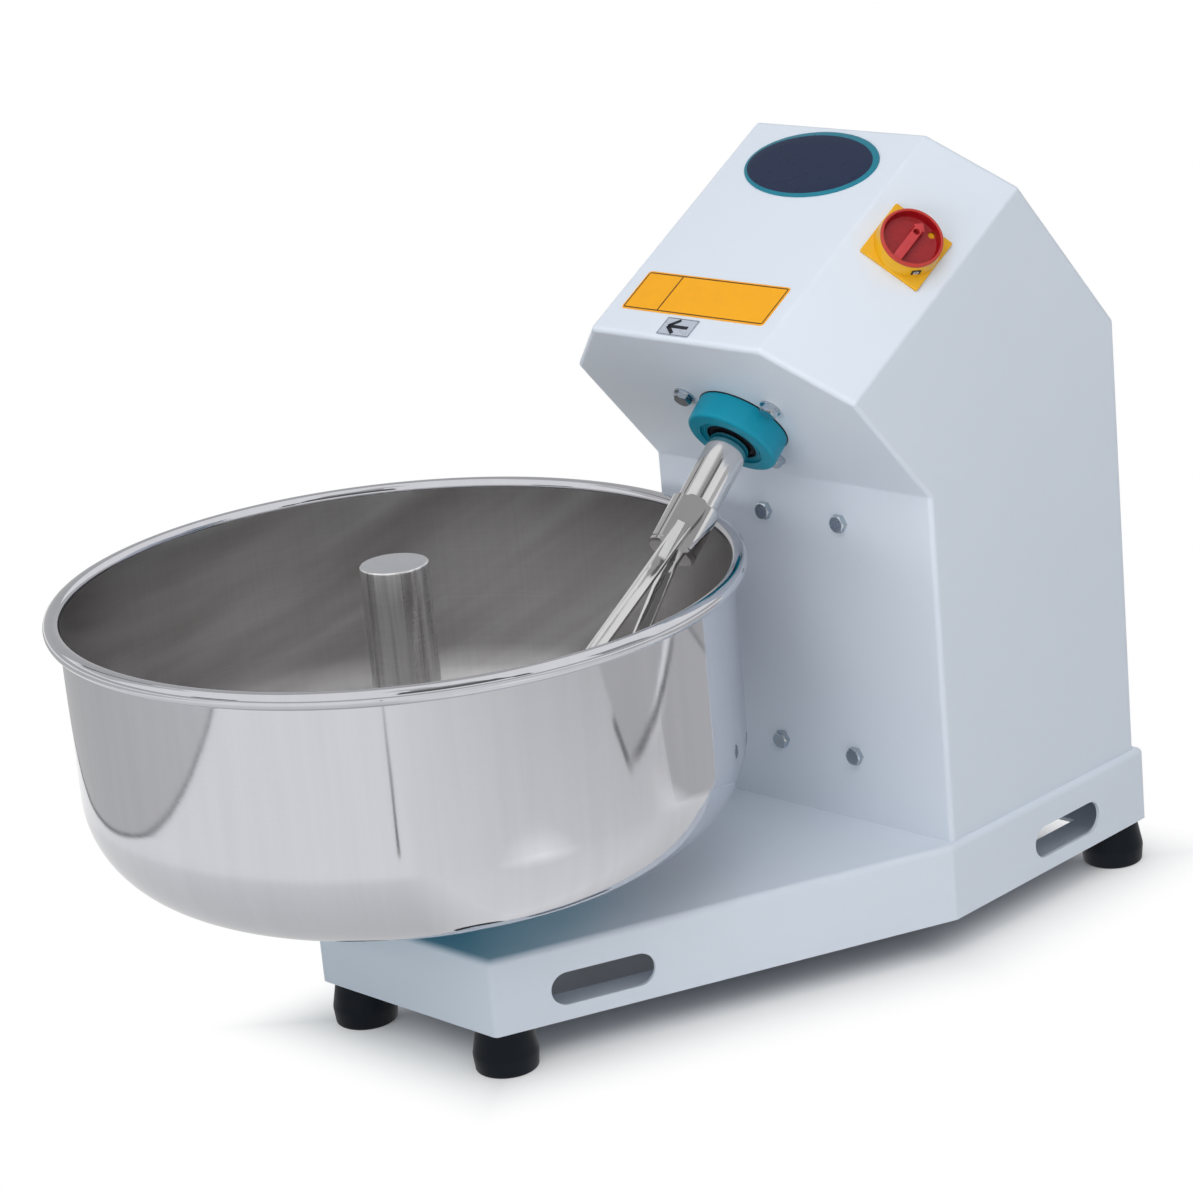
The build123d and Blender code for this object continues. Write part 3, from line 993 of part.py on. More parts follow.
def motor():
    """Foot-mounted motor on its plate behind the front wall."""
    foot_middle = (MOTOR_START + MOTOR_END) / 2
    foot_z = (foot_middle - MOTOR_FOOT_LENGTH / 2, foot_middle + MOTOR_FOOT_LENGTH / 2)
    foot_bolt_z = (foot_z[0] + MOTOR_FOOT_WIDTH / 2, foot_z[1] - MOTOR_FOOT_WIDTH / 2)
    plate_x = (
        min(WALL_BOLT_X - WALL_BOLT_SPACING_X / 2, DRIVE_X + foot_bolt_z[0]),
        max(WALL_BOLT_X + WALL_BOLT_SPACING_X / 2, DRIVE_X + foot_bolt_z[1]),
    )
    plate_z = (WALL_BOLT_Z - WALL_BOLT_SPACING_Z / 2, WALL_BOLT_Z + WALL_BOLT_SPACING_Z / 2)
    plate = block(
        (plate_x[0] - MOTOR_PLATE_MARGIN, plate_x[1] + MOTOR_PLATE_MARGIN),
        (COLUMN_SHEET, COLUMN_SHEET + MOTOR_PLATE),
        (plate_z[0] - MOTOR_PLATE_MARGIN, plate_z[1] + MOTOR_PLATE_MARGIN),
    )
    plate = cut_at(plate, wall_bolt_places(), hole(M8, MOTOR_PLATE * 3))

    inner = MOTOR_BODY_RADIUS - MOTOR_BODY_WALL
    frame = ring(MOTOR_BODY_RADIUS, inner, MOTOR_START, MOTOR_END)
    fin = block(
        (MOTOR_BODY_RADIUS - MOTOR_FIN_ROOT, MOTOR_BODY_RADIUS + MOTOR_FIN),
        (-MOTOR_FIN_THICKNESS / 2, MOTOR_FIN_THICKNESS / 2),
        (MOTOR_START + SHIELD_THICKNESS, MOTOR_END - SHIELD_THICKNESS),
    )
    frame += [Rot(0, 0, 360 / MOTOR_FIN_COUNT * (i + 0.5)) * fin for i in range(MOTOR_FIN_COUNT)]
    foot_x = (-MOTOR_SHAFT_HEIGHT, -MOTOR_SHAFT_HEIGHT + MOTOR_FOOT_THICKNESS)
    for side in (-1, 1):
        near = side * (MOTOR_FOOT_SPREAD - MOTOR_FOOT_WIDTH)
        foot_y = sorted((near, side * (MOTOR_FOOT_SPREAD + MOTOR_FOOT_WIDTH)))
        web_y = sorted((near, side * MOTOR_WEB_SPREAD))
        web_reach = sqrt(inner**2 - MOTOR_WEB_SPREAD**2) + MOTOR_BODY_WALL / 2
        frame += block(foot_x, foot_y, foot_z)
        frame += block((foot_x[0], -web_reach), web_y, foot_z) - disc(inner, MOTOR_START, MOTOR_END)
    foot_bolts = [
        Pos(foot_x[1], side * (MOTOR_FOOT_SPREAD + MOTOR_FOOT_WIDTH / 2), z) * Rot(0, 90, 0)
        for side in (-1, 1)
        for z in foot_bolt_z
    ]
    tap = disc(M6[0] + SLIP_CLEARANCE, -MOTOR_FOOT_THICKNESS * 4, CUT_PAST)
    frame = cut_at(frame, foot_bolts, tap)
    foot_bolt_places = [MOTOR_PLANE.location * place for place in foot_bolts]
    plate = cut_at(plate, foot_bolt_places, tap)

    core = (MOTOR_START + CORE_MARGIN, MOTOR_END - CORE_MARGIN)
    stator = ring(inner - RUNNING_CLEARANCE, ROTOR_RADIUS + ROTOR_AIR_GAP, *core)
    shaft_hole = MOTOR_SHAFT_RADIUS + RUNNING_CLEARANCE
    bearing = ring(MOTOR_BEARING_RADIUS, shaft_hole, 0, SHIELD_THICKNESS)
    shield = ring(MOTOR_BODY_RADIUS, MOTOR_BEARING_RADIUS + RUNNING_CLEARANCE, 0, SHIELD_THICKNESS)
    drive_end = Pos(0, 0, MOTOR_END)
    fan_end = Pos(0, 0, MOTOR_START - SHIELD_THICKNESS)

    fan_middle = MOTOR_START - SHIELD_THICKNESS - FAN_COVER_LENGTH / 2
    fan_span = (fan_middle - FAN_WIDTH / 2, fan_middle + FAN_WIDTH / 2)
    fan = ring(FAN_HUB_RADIUS, shaft_hole, *fan_span)
    blade_x = (FAN_HUB_RADIUS - MOTOR_FIN_ROOT, FAN_RADIUS)
    blade = block(blade_x, (-FAN_BLADE_THICKNESS / 2, FAN_BLADE_THICKNESS / 2), fan_span)
    fan += [Rot(0, 0, 360 / FAN_BLADES * i) * blade for i in range(FAN_BLADES)]
    fan_cover = disc(MOTOR_BODY_RADIUS, FAN_COVER_END, MOTOR_START - SHIELD_THICKNESS)
    fan_cover -= disc(MOTOR_BODY_RADIUS - FAN_COVER_SHEET, FAN_COVER_END + FAN_COVER_SHEET, MOTOR_START)
    vent = extrude(SlotOverall(VENT_LENGTH, LOUVRE_HEIGHT), CUT_PAST, both=True)
    vents = [Rot(0, 0, 360 / VENT_COUNT * i) * Pos(VENT_CIRCLE, 0, FAN_COVER_END) for i in range(VENT_COUNT)]
    fan_cover = cut_at(fan_cover, vents, vent)

    box_x = MOTOR_BODY_RADIUS + MOTOR_FIN
    half = TERMINAL_BOX / 2
    box_z = (foot_middle - half, foot_middle + half)
    box = block((MOTOR_BODY_RADIUS, box_x + TERMINAL_BOX_DEPTH), (-half, half), box_z)
    wall = TERMINAL_BOX_WALL
    room_y = (-half + wall, half - wall)
    room_z = (box_z[0] + wall, box_z[1] - wall)
    box -= block((box_x, box_x + TERMINAL_BOX_DEPTH + CUT_PAST), room_y, room_z)
    saddle = disc(MOTOR_BODY_RADIUS + MOTOR_FIN + SLIP_CLEARANCE, MOTOR_START, MOTOR_END)
    box -= saddle
    lid_x = (box_x + TERMINAL_BOX_DEPTH, box_x + TERMINAL_BOX_DEPTH + TERMINAL_LID)
    lid = block(lid_x, (-half, half), box_z)
    lid = fillet(lid.edges().group_by(Axis.X)[-1], TERMINAL_LID / 2)

    rotor = disc(ROTOR_RADIUS, *core)
    rotor += disc(MOTOR_SHAFT_RADIUS, fan_span[0], BELT_X + PULLEY_WIDTH / 2)
    small = Pos(0, 0, BELT_X) * pulley(MOTOR_PULLEY_RADIUS, shaft_hole)
    grip = COLUMN_SHEET + MOTOR_PLATE
    foot_grip = MOTOR_FOOT_THICKNESS + MOTOR_PLATE
    put = MOTOR_PLANE.location
    return {
        "motor_plate": plate,
        "motor_plate_fasteners": placed(wall_bolt_places(), through_bolt(M8, grip)),
        "motor_frame": put * frame,
        "motor_foot_bolts": placed(foot_bolt_places, [hex_bolt(M6, foot_grip - SCREW_END_GAP)]),
        "motor_stator": put * stator,
        "motor_drive_shield": put * drive_end * shield,
        "motor_fan_shield": put * fan_end * shield,
        "motor_bearings": placed([put * drive_end, put * fan_end], [bearing]),
        "motor_fan_cover": put * fan_cover,
        "motor_terminal_box": put * box,
        "motor_terminal_lid": put * lid,
        "motor_rotor": put * rotor,
        "motor_fan": put * fan,
        "motor_pulley": put * small,
    }


def switch():
    """Main switch on the right facet: plate, collar, knob, spindle, body and screws, and the wall's cuts."""
    half = SWITCH_PLATE / 2
    plate = block((-half, half), (-half, half), (0, SWITCH_PLATE_THICKNESS))
    plate = fillet(plate.edges().filter_by(Axis.Z), SWITCH_PLATE_CORNER)
    collar_top = SWITCH_PLATE_THICKNESS + SWITCH_COLLAR
    collar_floor = SWITCH_PLATE_THICKNESS + SWITCH_COLLAR_FLOOR
    collar_rim = SWITCH_COLLAR_RADIUS - SWITCH_COLLAR_TAPER
    well = collar_rim - SWITCH_COLLAR_WALL
    skirt = [(SWITCH_COLLAR_RADIUS, SWITCH_PLATE_THICKNESS), (collar_rim, collar_top)]
    inside = [(well, collar_top), (well, collar_floor), (0, collar_floor)]
    collar = turned([(0, SWITCH_PLATE_THICKNESS), *skirt, *inside])
    spindle_way = disc(SWITCH_SPINDLE, -CUT_PAST, collar_top + CUT_PAST)
    plate -= spindle_way
    collar -= spindle_way
    screw_spots = [
        Rot(0, 0, 45 + 180 * i) * Pos(SWITCH_SCREW_CIRCLE, 0, SWITCH_PLATE_THICKNESS) for i in range(2)
    ]
    head_room = disc(M5[1] / 2 + HOLE_CLEARANCE, -CUT_PAST, M5[2] + HOLE_CLEARANCE)
    collar = cut_at(collar, screw_spots, head_room)

    knob_low = collar_floor + MOVING_GAP
    knob_top = knob_low + SWITCH_KNOB_HEIGHT
    knob_floor = knob_low + SWITCH_KNOB_FLOOR
    cup_outside = well - MOVING_GAP
    cup_inside = SWITCH_KNOB_RADIUS - SWITCH_KNOB_WALL
    knob = disc(SWITCH_KNOB_RADIUS, collar_top + MOVING_GAP, knob_top)
    knob = chamfer(knob.edges().group_by(Axis.Z)[-1], SWITCH_KNOB_EDGE)
    knob += disc(cup_outside, knob_low, knob_top - SWITCH_KNOB_EDGE)
    knob -= disc(cup_inside, knob_floor, knob_top + CUT_PAST)
    tail = (cup_outside + cup_inside) / 2
    grip_outline = Polyline(
        (-tail, -SWITCH_GRIP_TAIL / 2),
        (SWITCH_GRIP_SHOULDER, -SWITCH_GRIP_HEAD / 2),
        (SWITCH_GRIP_TIP, 0),
        (SWITCH_GRIP_SHOULDER, SWITCH_GRIP_HEAD / 2),
        (-tail, SWITCH_GRIP_TAIL / 2),
        close=True,
    )
    knob += Pos(0, 0, knob_low) * extrude(make_face(grip_outline), SWITCH_KNOB_HEIGHT - SWITCH_KNOB_EDGE)
    grip_hole = disc(SWITCH_GRIP_HOLE, knob_top - SWITCH_GRIP_HOLE_DEPTH, knob_top + CUT_PAST)
    lock_hole = disc(SWITCH_LOCK_HOLE, knob_low - CUT_PAST, knob_floor + CUT_PAST)
    knob -= Pos(SWITCH_GRIP_HOLE_AT, 0, 0) * grip_hole
    knob -= Rot(0, 0, SWITCH_LOCK_ANGLE) * Pos(SWITCH_LOCK_AT, 0, 0) * lock_hole
    spindle_top = knob_low + SWITCH_KNOB_HEIGHT / 2
    spindle = block(
        (-SWITCH_SPINDLE / 2, SWITCH_SPINDLE / 2),
        (-SWITCH_SPINDLE / 2, SWITCH_SPINDLE / 2),
        (spindle_top - SWITCH_SPINDLE_LENGTH, spindle_top),
    )
    knob -= spindle

    back = -COLUMN_SHEET
    half_body = SWITCH_BODY / 2
    body = block((-half_body, half_body), (-half_body, half_body), (back - SWITCH_BODY_DEPTH, back))
    body = fillet(body.edges().filter_by(Axis.Z), SWITCH_PLATE_CORNER)
    body += disc(SWITCH_HOLE_RADIUS - HOLE_CLEARANCE, back, 0)
    body -= disc(SWITCH_SPINDLE, back - SWITCH_BORE_DEPTH, CUT_PAST)
    put = SWITCH_PLANE.location
    places = [put * spot for spot in screw_spots]
    tap_depth = SWITCH_PLATE_THICKNESS + COLUMN_SHEET + SWITCH_BODY_DEPTH / 4
    tap = disc(M5[0] + SLIP_CLEARANCE, -tap_depth, CUT_PAST)
    return {
        "switch_plate": cut_at(put * plate, places, tap),
        "switch_collar": put * collar,
        "switch_knob": put * knob,
        "switch_spindle": put * spindle,
        "switch_body": cut_at(put * body, places, tap),
        "switch_screws": placed(places, [pan_screw(M5, tap_depth - SCREW_END_GAP)]),
    }, (places, tap)


def assembly():
    """All nodes by name, in machine coordinates."""
    nodes = {"base_tray": base_tray()}
    nodes.update(feet())
    nodes.update(column())
    nodes.update(cable_gland())
    nodes.update(bowl_group())
    nodes.update(fork_group())
    nodes.update(boss_and_gearbox())
    nodes.update(worm_group())
    nodes.update(belt())
    nodes.update(motor())
    switch_nodes, (places, tap) = switch()
    nodes.update(switch_nodes)
    nodes["column_shell"] = cut_at(nodes["column_shell"], places, tap)
    return nodes


if __name__ == "__main__":
    os.makedirs("parts", exist_ok=True)
    to_origin = Pos(-ORIGIN_X, -ORIGIN_Y, 0)
    for name, shape in assembly().items():
        export_step(to_origin * shape, os.path.join("parts", f"{name}.step"))
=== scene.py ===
"""Looks of a bench fork dough mixer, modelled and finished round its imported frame.

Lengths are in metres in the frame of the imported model: +Z is up and the bowl stands towards -Y.
"""

import json
import logging
import math
from contextlib import contextmanager
from dataclasses import dataclass
from enum import Enum
from typing import Any, Callable, Iterator, Sequence

import bmesh
import bpy
from mathutils import Matrix, Vector


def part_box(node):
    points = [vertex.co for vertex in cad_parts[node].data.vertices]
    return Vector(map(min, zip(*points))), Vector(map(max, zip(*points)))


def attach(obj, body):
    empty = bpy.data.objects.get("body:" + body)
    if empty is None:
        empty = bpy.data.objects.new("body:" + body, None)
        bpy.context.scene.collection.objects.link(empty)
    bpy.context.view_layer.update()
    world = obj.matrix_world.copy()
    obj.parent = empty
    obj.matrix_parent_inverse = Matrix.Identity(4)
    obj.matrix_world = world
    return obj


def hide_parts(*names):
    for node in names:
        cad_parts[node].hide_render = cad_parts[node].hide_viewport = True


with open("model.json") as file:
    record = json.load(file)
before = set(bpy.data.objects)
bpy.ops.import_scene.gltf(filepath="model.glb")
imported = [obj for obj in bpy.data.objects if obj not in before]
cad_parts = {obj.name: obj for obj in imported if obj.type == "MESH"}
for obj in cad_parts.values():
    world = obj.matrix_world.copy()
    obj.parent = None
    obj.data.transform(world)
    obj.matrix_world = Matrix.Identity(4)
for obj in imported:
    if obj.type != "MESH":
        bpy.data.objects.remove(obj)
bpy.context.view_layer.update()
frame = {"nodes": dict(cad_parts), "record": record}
LOG = logging.getLogger("dough_mixer")

Colour = tuple[float, float, float]
Point = tuple[float, float, float]
Station = tuple[float, float]
Piece = bpy.types.Object
Socket = bpy.types.NodeSocket

WHITE = (1.0, 1.0, 1.0, 1.0)
RIGHT = Vector((1, 0, 0))
MERGE = 1e-7
NODE_MERGE = 1e-6
NODE_FLAT = math.radians(1.0)
SHARP = math.radians(40.0)
CORNER_STEPS = 6
LOOKS_UP = 0.95


class Pick(Enum):
    """What a selection holds."""

    EDGE = "EDGE"
    FACE = "FACE"


class Close(Enum):
    """How a turned shape is closed."""

    ENDS = "a face on each end"
    RING = "the last ring joined to the first"


class Body(Enum):
    """Bodies of the frame that a piece can ride on."""

    MACHINE = "machine"
    FORK = "fork"
    BOWL = "bowl"
    KNOB = "knob"


class Slot(Enum):
    """Material slots of the record."""

    COAT = "white_powder_coat"
    TEAL = "teal_paint"
    POLISHED = "polished_steel"
    BRUSHED = "brushed_steel"
    ZINC = "zinc_steel"
    MACHINED = "machine_steel"
    IRON = "cast_iron"
    ALUMINIUM = "aluminium"
    BRONZE = "bronze"
    RUBBER = "black_rubber"
    YELLOW = "yellow_plastic"
    RED = "red_plastic"
    BLACK = "black_plastic"


class Curve(Enum):
    """How a value runs from one end of a span to the other."""

    STRAIGHT = "LINEAR"
    SOFT = "SMOOTHSTEP"


class Ray(Enum):
    """Kinds of rays that can be kept from seeing a card, each by its switch."""

    CAMERA = "visible_camera"
    DIFFUSE = "visible_diffuse"
    GLOSSY = "visible_glossy"
    TRANSMISSION = "visible_transmission"
    SHADOW = "visible_shadow"


def alone(piece: Piece) -> Piece:
    """Select one object and nothing else.

    Args:
        piece: the object to select and make active.

    Returns:
        The same object.
    """
    bpy.ops.object.select_all(action="DESELECT")
    piece.select_set(True)
    bpy.context.view_layer.objects.active = piece
    return piece


@contextmanager
def editing(piece: Piece, pick: Pick = Pick.FACE) -> Iterator[None]:
    """Keep an object in edit mode while the block runs.

    Args:
        piece: the mesh object to edit.
        pick: what selections hold meanwhile.
    """
    alone(piece)
    bpy.ops.object.mode_set(mode="EDIT")
    bpy.ops.mesh.select_mode(type=pick.value)
    yield
    bpy.ops.object.mode_set(mode="OBJECT")


def choose(piece: Piece, pick: Pick, test: Callable[[Any], bool]) -> None:
    """Select, in edit mode, the edges or faces that pass a test.

    Args:
        piece: the object in edit mode.
        pick: what is tested.
        test: takes one edge or face and says whether it is wanted.
    """
    bpy.ops.mesh.select_mode(type=pick.value)
    bpy.ops.mesh.select_all(action="DESELECT")
    mesh = bmesh.from_edit_mesh(piece.data)
    for item in mesh.edges if pick is Pick.EDGE else mesh.faces:
        if test(item):
            item.select_set(True)
    bmesh.update_edit_mesh(piece.data)


def choose_all(pick: Pick = Pick.FACE) -> None:
    """Select, in edit mode, the whole mesh."""
    bpy.ops.mesh.select_mode(type=pick.value)
    bpy.ops.mesh.select_all(action="SELECT")


def looks_up(face: bmesh.types.BMFace) -> bool:
    """Whether a face looks up the Z axis."""
    return face.normal.z > LOOKS_UP


def middle(edge: bmesh.types.BMEdge) -> Vector:
    """Middle of an edge."""
    return (edge.verts[0].co + edge.verts[1].co) / 2


def started(name: str) -> Piece:
    """Name the primitive that was just added and return it."""
    piece = bpy.context.object
    piece.name = name
    piece.data.name = name
    return piece


def begun(name: str, add: Callable[..., Any], **settings: Any) -> Piece:
    """Add a primitive with nothing else selected, and name it.

    Args:
        name: name of the new object.
        add: the operator that adds it.
        settings: the operator's own settings.

    Returns:
        The new object.
    """
    bpy.ops.object.select_all(action="DESELECT")
    add(**settings)
    return started(name)


def pull(step: Point) -> None:
    """Extrude what is selected by a step."""
    bpy.ops.mesh.extrude_region_move(TRANSFORM_OT_translate={"value": step})


def scaled(factors: Point, centre: Point) -> None:
    """Scale what is selected about a centre."""
    bpy.ops.transform.resize(value=factors, center_override=centre)


def settle_transform(piece: Piece, place: Matrix | None = None) -> Piece:
    """Move an object to its place and write the place into its mesh.

    Args:
        piece: the object.
        place: where it goes from where it is, or nothing to leave it there.

    Returns:
        The same object, at the origin, unturned and unscaled.
    """
    alone(piece)
    bpy.context.view_layer.update()
    if place is not None:
        piece.matrix_world = place @ piece.matrix_world
    bpy.ops.object.transform_apply(location=True, rotation=True, scale=True)
    return piece


def rounded(piece: Piece, width: float, segments: int) -> None:
    """Bevel every sharp edge with an applied modifier.

    Args:
        piece: the object.
        width: width of the bevel.
        segments: steps across the bevel.
    """
    alone(piece)
    bevel = piece.modifiers.new("edge", "BEVEL")
    bevel.width = width
    bevel.segments = segments
    bevel.limit_method = "ANGLE"
    bevel.angle_limit = SHARP
    bevel.use_clamp_overlap = True
    bpy.ops.object.modifier_apply(modifier=bevel.name)


def cut(piece: Piece, tool: Piece) -> None:
    """Cut one object out of another with an applied Boolean, and remove the tool."""
    alone(piece)
    boolean = piece.modifiers.new("cut", "BOOLEAN")
    boolean.operation = "DIFFERENCE"
    boolean.solver = "EXACT"
    boolean.object = tool
    bpy.ops.object.modifier_apply(modifier=boolean.name)
    bpy.data.objects.remove(tool)


def joined(pieces: Sequence[Piece]) -> Piece:
    """Join objects into the first of them and return it."""
    alone(pieces[0])
    for piece in pieces[1:]:
        piece.select_set(True)
    bpy.ops.object.join()
    return pieces[0]


def smooth(piece: Piece, angle: float = 32.0) -> Piece:
    """Point the normals outwards and shade smooth, with sharp edges past an angle.

    Args:
        piece: the object.
        angle: greatest angle in degrees that is shaded smooth.

    Returns:
        The same object.
    """
    with editing(piece):
        choose_all()
        bpy.ops.mesh.remove_doubles(threshold=MERGE)
        bpy.ops.mesh.normals_make_consistent(inside=False)
    bpy.ops.object.shade_smooth_by_angle(angle=math.radians(angle))
    return piece


def arc(centre: Station, radius: float, start: float, end: float, steps: int) -> list[Station]:
    """Stations of a turned profile along an arc.

    Args:
        centre: distance from the axis and height of the arc's centre.
        radius: the arc's radius.
        start: first angle in degrees, 0 pointing away from the axis and 90 up.
        end: last angle in degrees.
        steps: number of straight steps along the arc.

    Returns:
        The stations, both ends included.
    """
    angles = [math.radians(start + (end - start) * i / steps) for i in range(steps + 1)]
    return [(centre[0] + radius * math.cos(a), centre[1] + radius * math.sin(a)) for a in angles]


def run(start: Station, end: Station, steps: int) -> list[Station]:
    """Stations on a straight run between two others, both of them left out."""
    shares = [i / steps for i in range(1, steps)]
    return [(start[0] + (end[0] - start[0]) * s, start[1] + (end[1] - start[1]) * s) for s in shares]


def turned(name: str, profile: Sequence[Station], segments: int, close: Close = Close.ENDS) -> Piece:
    """Turn a profile about the Z axis: a circle, extruded and scaled from station to station.

    Args:
        name: name of the new object.
        profile: distance from the axis and height of each station, in order.
        segments: faces round the axis.
        close: how the shape is closed.

    Returns:
        The new object, smooth and in place about the Z axis.
    """
    radius, height = profile[0]
    add = bpy.ops.mesh.primitive_circle_add
    piece = begun(name, add, vertices=segments, radius=radius, location=(0, 0, height))
    with editing(piece, Pick.EDGE):
        choose_all(Pick.EDGE)
        for next_radius, next_height in profile[1:]:
            pull((0, 0, next_height - height))
            share = next_radius / radius
            scaled((share, share, 1), (0, 0, next_height))
            radius, height = next_radius, next_height
        if close is Close.ENDS:
            choose_all(Pick.EDGE)
            bpy.ops.mesh.fill_holes(sides=segments)
        else:
            choose(piece, Pick.EDGE, lambda edge: edge.is_boundary)
            bpy.ops.mesh.bridge_edge_loops()
    settle_transform(piece)
    return smooth(piece)


def flat_plate(name: str, width: float, height: float, corner: float, thickness: float) -> Piece:
    """Model a plate with round corners, lying on z = 0 about the Z axis.

    Args:
        name: name of the new object.
        width: size along X.
        height: size along Y.
        corner: corner radius.
        thickness: size along Z.

    Returns:
        The new object.
    """
    plate = begun(name, bpy.ops.mesh.primitive_plane_add, size=1)
    with editing(plate):
        choose_all()
        scaled((width, height, 1), (0, 0, 0))
        bpy.ops.mesh.bevel(offset=corner, segments=CORNER_STEPS, affect="VERTICES")
        choose_all()
        pull((0, 0, thickness))
    return plate


def copied(piece: Piece, name: str, step: Vector) -> Piece:
    """Copy an object with its own mesh and move the copy.

    Args:
        piece: the object to copy.
        name: name of the copy.
        step: way from the object to its copy.

    Returns:
        The copy.
    """
    alone(piece)
    bpy.ops.object.duplicate(linked=False)
    copy = started(name)
    return settle_transform(copy, Matrix.Translation(step))


def node_copy(node: str, name: str) -> Piece:
    """Copy a node's mesh into a new object, with doubles merged and its flats made whole.

    Args:
        node: name of the node.
        name: name of the new object.

    Returns:
        The new object.
    """
    source = frame["nodes"][node]
    piece = bpy.data.objects.new(name, source.data.copy())
    piece.matrix_world = source.matrix_world
    bpy.context.scene.collection.objects.link(piece)
    settle_transform(piece)
    with editing(piece):
        choose_all()
        bpy.ops.mesh.remove_doubles(threshold=NODE_MERGE)
        bpy.ops.mesh.dissolve_limited(angle_limit=NODE_FLAT)
    return piece


def seat_matrix(origin: Vector, along: Vector, outward: Vector) -> Matrix:
    """Matrix of a seat.

    Args:
        origin: where it lies.
        along: its X axis.
        outward: its Z axis.

    Returns:
        The matrix.
    """
    side = outward.cross(along)
    turn = Matrix((along, side, outward)).transposed()
    return Matrix.Translation(origin) @ turn.to_4x4()


class Graph:
    """Node tree of one material, wired step by step."""

    def __init__(self, name: str) -> None:
        """Start a material whose textures read Object coordinates."""
        self.material = bpy.data.materials.new(name)
        self.material.use_nodes = True
        self.tree = self.material.node_tree
        self.shader = self.tree.nodes["Principled BSDF"]
        self.coords = self.add("ShaderNodeTexCoord").outputs["Object"]

    def add(self, kind: str, inputs: dict[str, Any] | None = None, **settings: Any) -> bpy.types.Node:
        """Add a node, set it up and wire its inputs.

        Args:
            kind: the node's type.
            inputs: a value or another node's socket for each named input.
            settings: values of the node's own properties.

        Returns:
            The node.
        """
        node = self.tree.nodes.new(kind)
        for key, value in settings.items():
            setattr(node, key, value)
        self.feed(node, inputs or {})
        return node

    def feed(self, node: bpy.types.Node, inputs: dict[str, Any]) -> None:
        """Set or link the named inputs of a node."""
        for key, value in inputs.items():
            if isinstance(value, bpy.types.NodeSocket):
                self.tree.links.new(value, node.inputs[key])
            else:
                node.inputs[key].default_value = value

    def surface(self, inputs: dict[str, Any]) -> None:
        """Set or link the inputs of the surface shader."""
        self.feed(self.shader, inputs)

    def show(self, shader: bpy.types.Node) -> None:
        """Let another shader make the surface."""
        self.feed(self.tree.nodes["Material Output"], {"Surface": shader.outputs[0]})

    def mixed(self, share: Socket, first: bpy.types.Node, second: bpy.types.Node) -> bpy.types.Node:
        """Shader between two others."""
        return self.add("ShaderNodeMixShader", {0: share, 1: first.outputs[0], 2: second.outputs[0]})

    def number(self, operation: str, *values: Any) -> Socket:
        """Result of a sum on numbers or sockets."""
        return self.add("ShaderNodeMath", dict(enumerate(values)), operation=operation).outputs[0]

    def vector(self, operation: str, *values: Any) -> Socket:
        """Result of a vector sum: a number for a length or a dot product, and else a vector."""
        outputs = self.add("ShaderNodeVectorMath", dict(enumerate(values)), operation=operation).outputs
        return outputs["Value" if operation in ("LENGTH", "DOT_PRODUCT") else "Vector"]

    def stretched(self, vector: Socket, factor: Any) -> Socket:
        """A vector or a colour multiplied by a factor."""
        inputs = {0: vector, "Scale": factor}
        return self.add("ShaderNodeVectorMath", inputs, operation="SCALE").outputs[0]

    def combined(self, **parts: Socket) -> Socket:
        """Vector from its X, Y and Z parts, 0 where one is left out."""
        return self.add("ShaderNodeCombineXYZ", parts).outputs[0]

    def parted(self, vector: Socket) -> Any:
        """Sockets of a vector's X, Y and Z parts, by name."""
        return self.add("ShaderNodeSeparateXYZ", {"Vector": vector}).outputs

    def mapped(self, size: Point, centre: Point = (0, 0, 0), turn: Point = (0, 0, 0)) -> Socket:
        """Coordinates about a centre, turned, and divided by a pattern's size."""
        inputs = {"Vector": self.coords, "Location": centre, "Rotation": turn, "Scale": size}
        return self.add("ShaderNodeMapping", inputs, vector_type="TEXTURE").outputs[0]

    def noise(self, vector: Socket, detail: float) -> Socket:
        """Soft noise over ready coordinates, from 0 to 1."""
        inputs = {"Vector": vector, "Scale": 1.0, "Detail": detail}
        return self.add("ShaderNodeTexNoise", inputs).outputs["Fac"]

    def grain(self, size: float, detail: float) -> Socket:
        """Even noise of one size in every direction."""
        return self.noise(self.mapped((size, size, size)), detail)

    def ring_noise(
        self, centre: Point, turn: Point, across: float, around: float, detail: float = 3.0
    ) -> Socket:
        """Noise that runs round an axis, as turning and polishing leave it.

        Args:
            centre: a point on the axis.
            turn: turn that brings the Z axis onto it.
            across: width of a line, along the axis and away from it.
            around: patches in a turn: few give long lines round, many give streaks along.
            detail: how fine its finest part is.

        Returns:
            The noise, from 0 to 1.
        """
        parts = self.parted(self.mapped((1, 1, 1), centre, turn))
        flat = self.combined(X=parts["X"], Y=parts["Y"])
        spread = self.stretched(self.vector("NORMALIZE", flat), around)
        lifted = self.combined(Z=self.times(parts["Z"], 1 / across))
        length = self.times(self.vector("LENGTH", flat), 1 / across)
        inputs = {"Vector": self.vector("ADD", spread, lifted), "W": length, "Scale": 1.0, "Detail": detail}
        return self.add("ShaderNodeTexNoise", inputs, noise_dimensions="4D").outputs["Fac"]

    def times(self, value: Socket, factor: float) -> Socket:
        """A value multiplied by a factor."""
        return self.number("MULTIPLY", value, factor)

    def plus(self, first: Socket, second: Socket) -> Socket:
        """Sum of two values."""
        return self.number("ADD", first, second)

    def blend(self, first: Socket, second: Socket, share: float) -> Socket:
        """Sum of two values, with a fixed share of the second."""
        return self.plus(self.times(first, 1 - share), self.times(second, share))

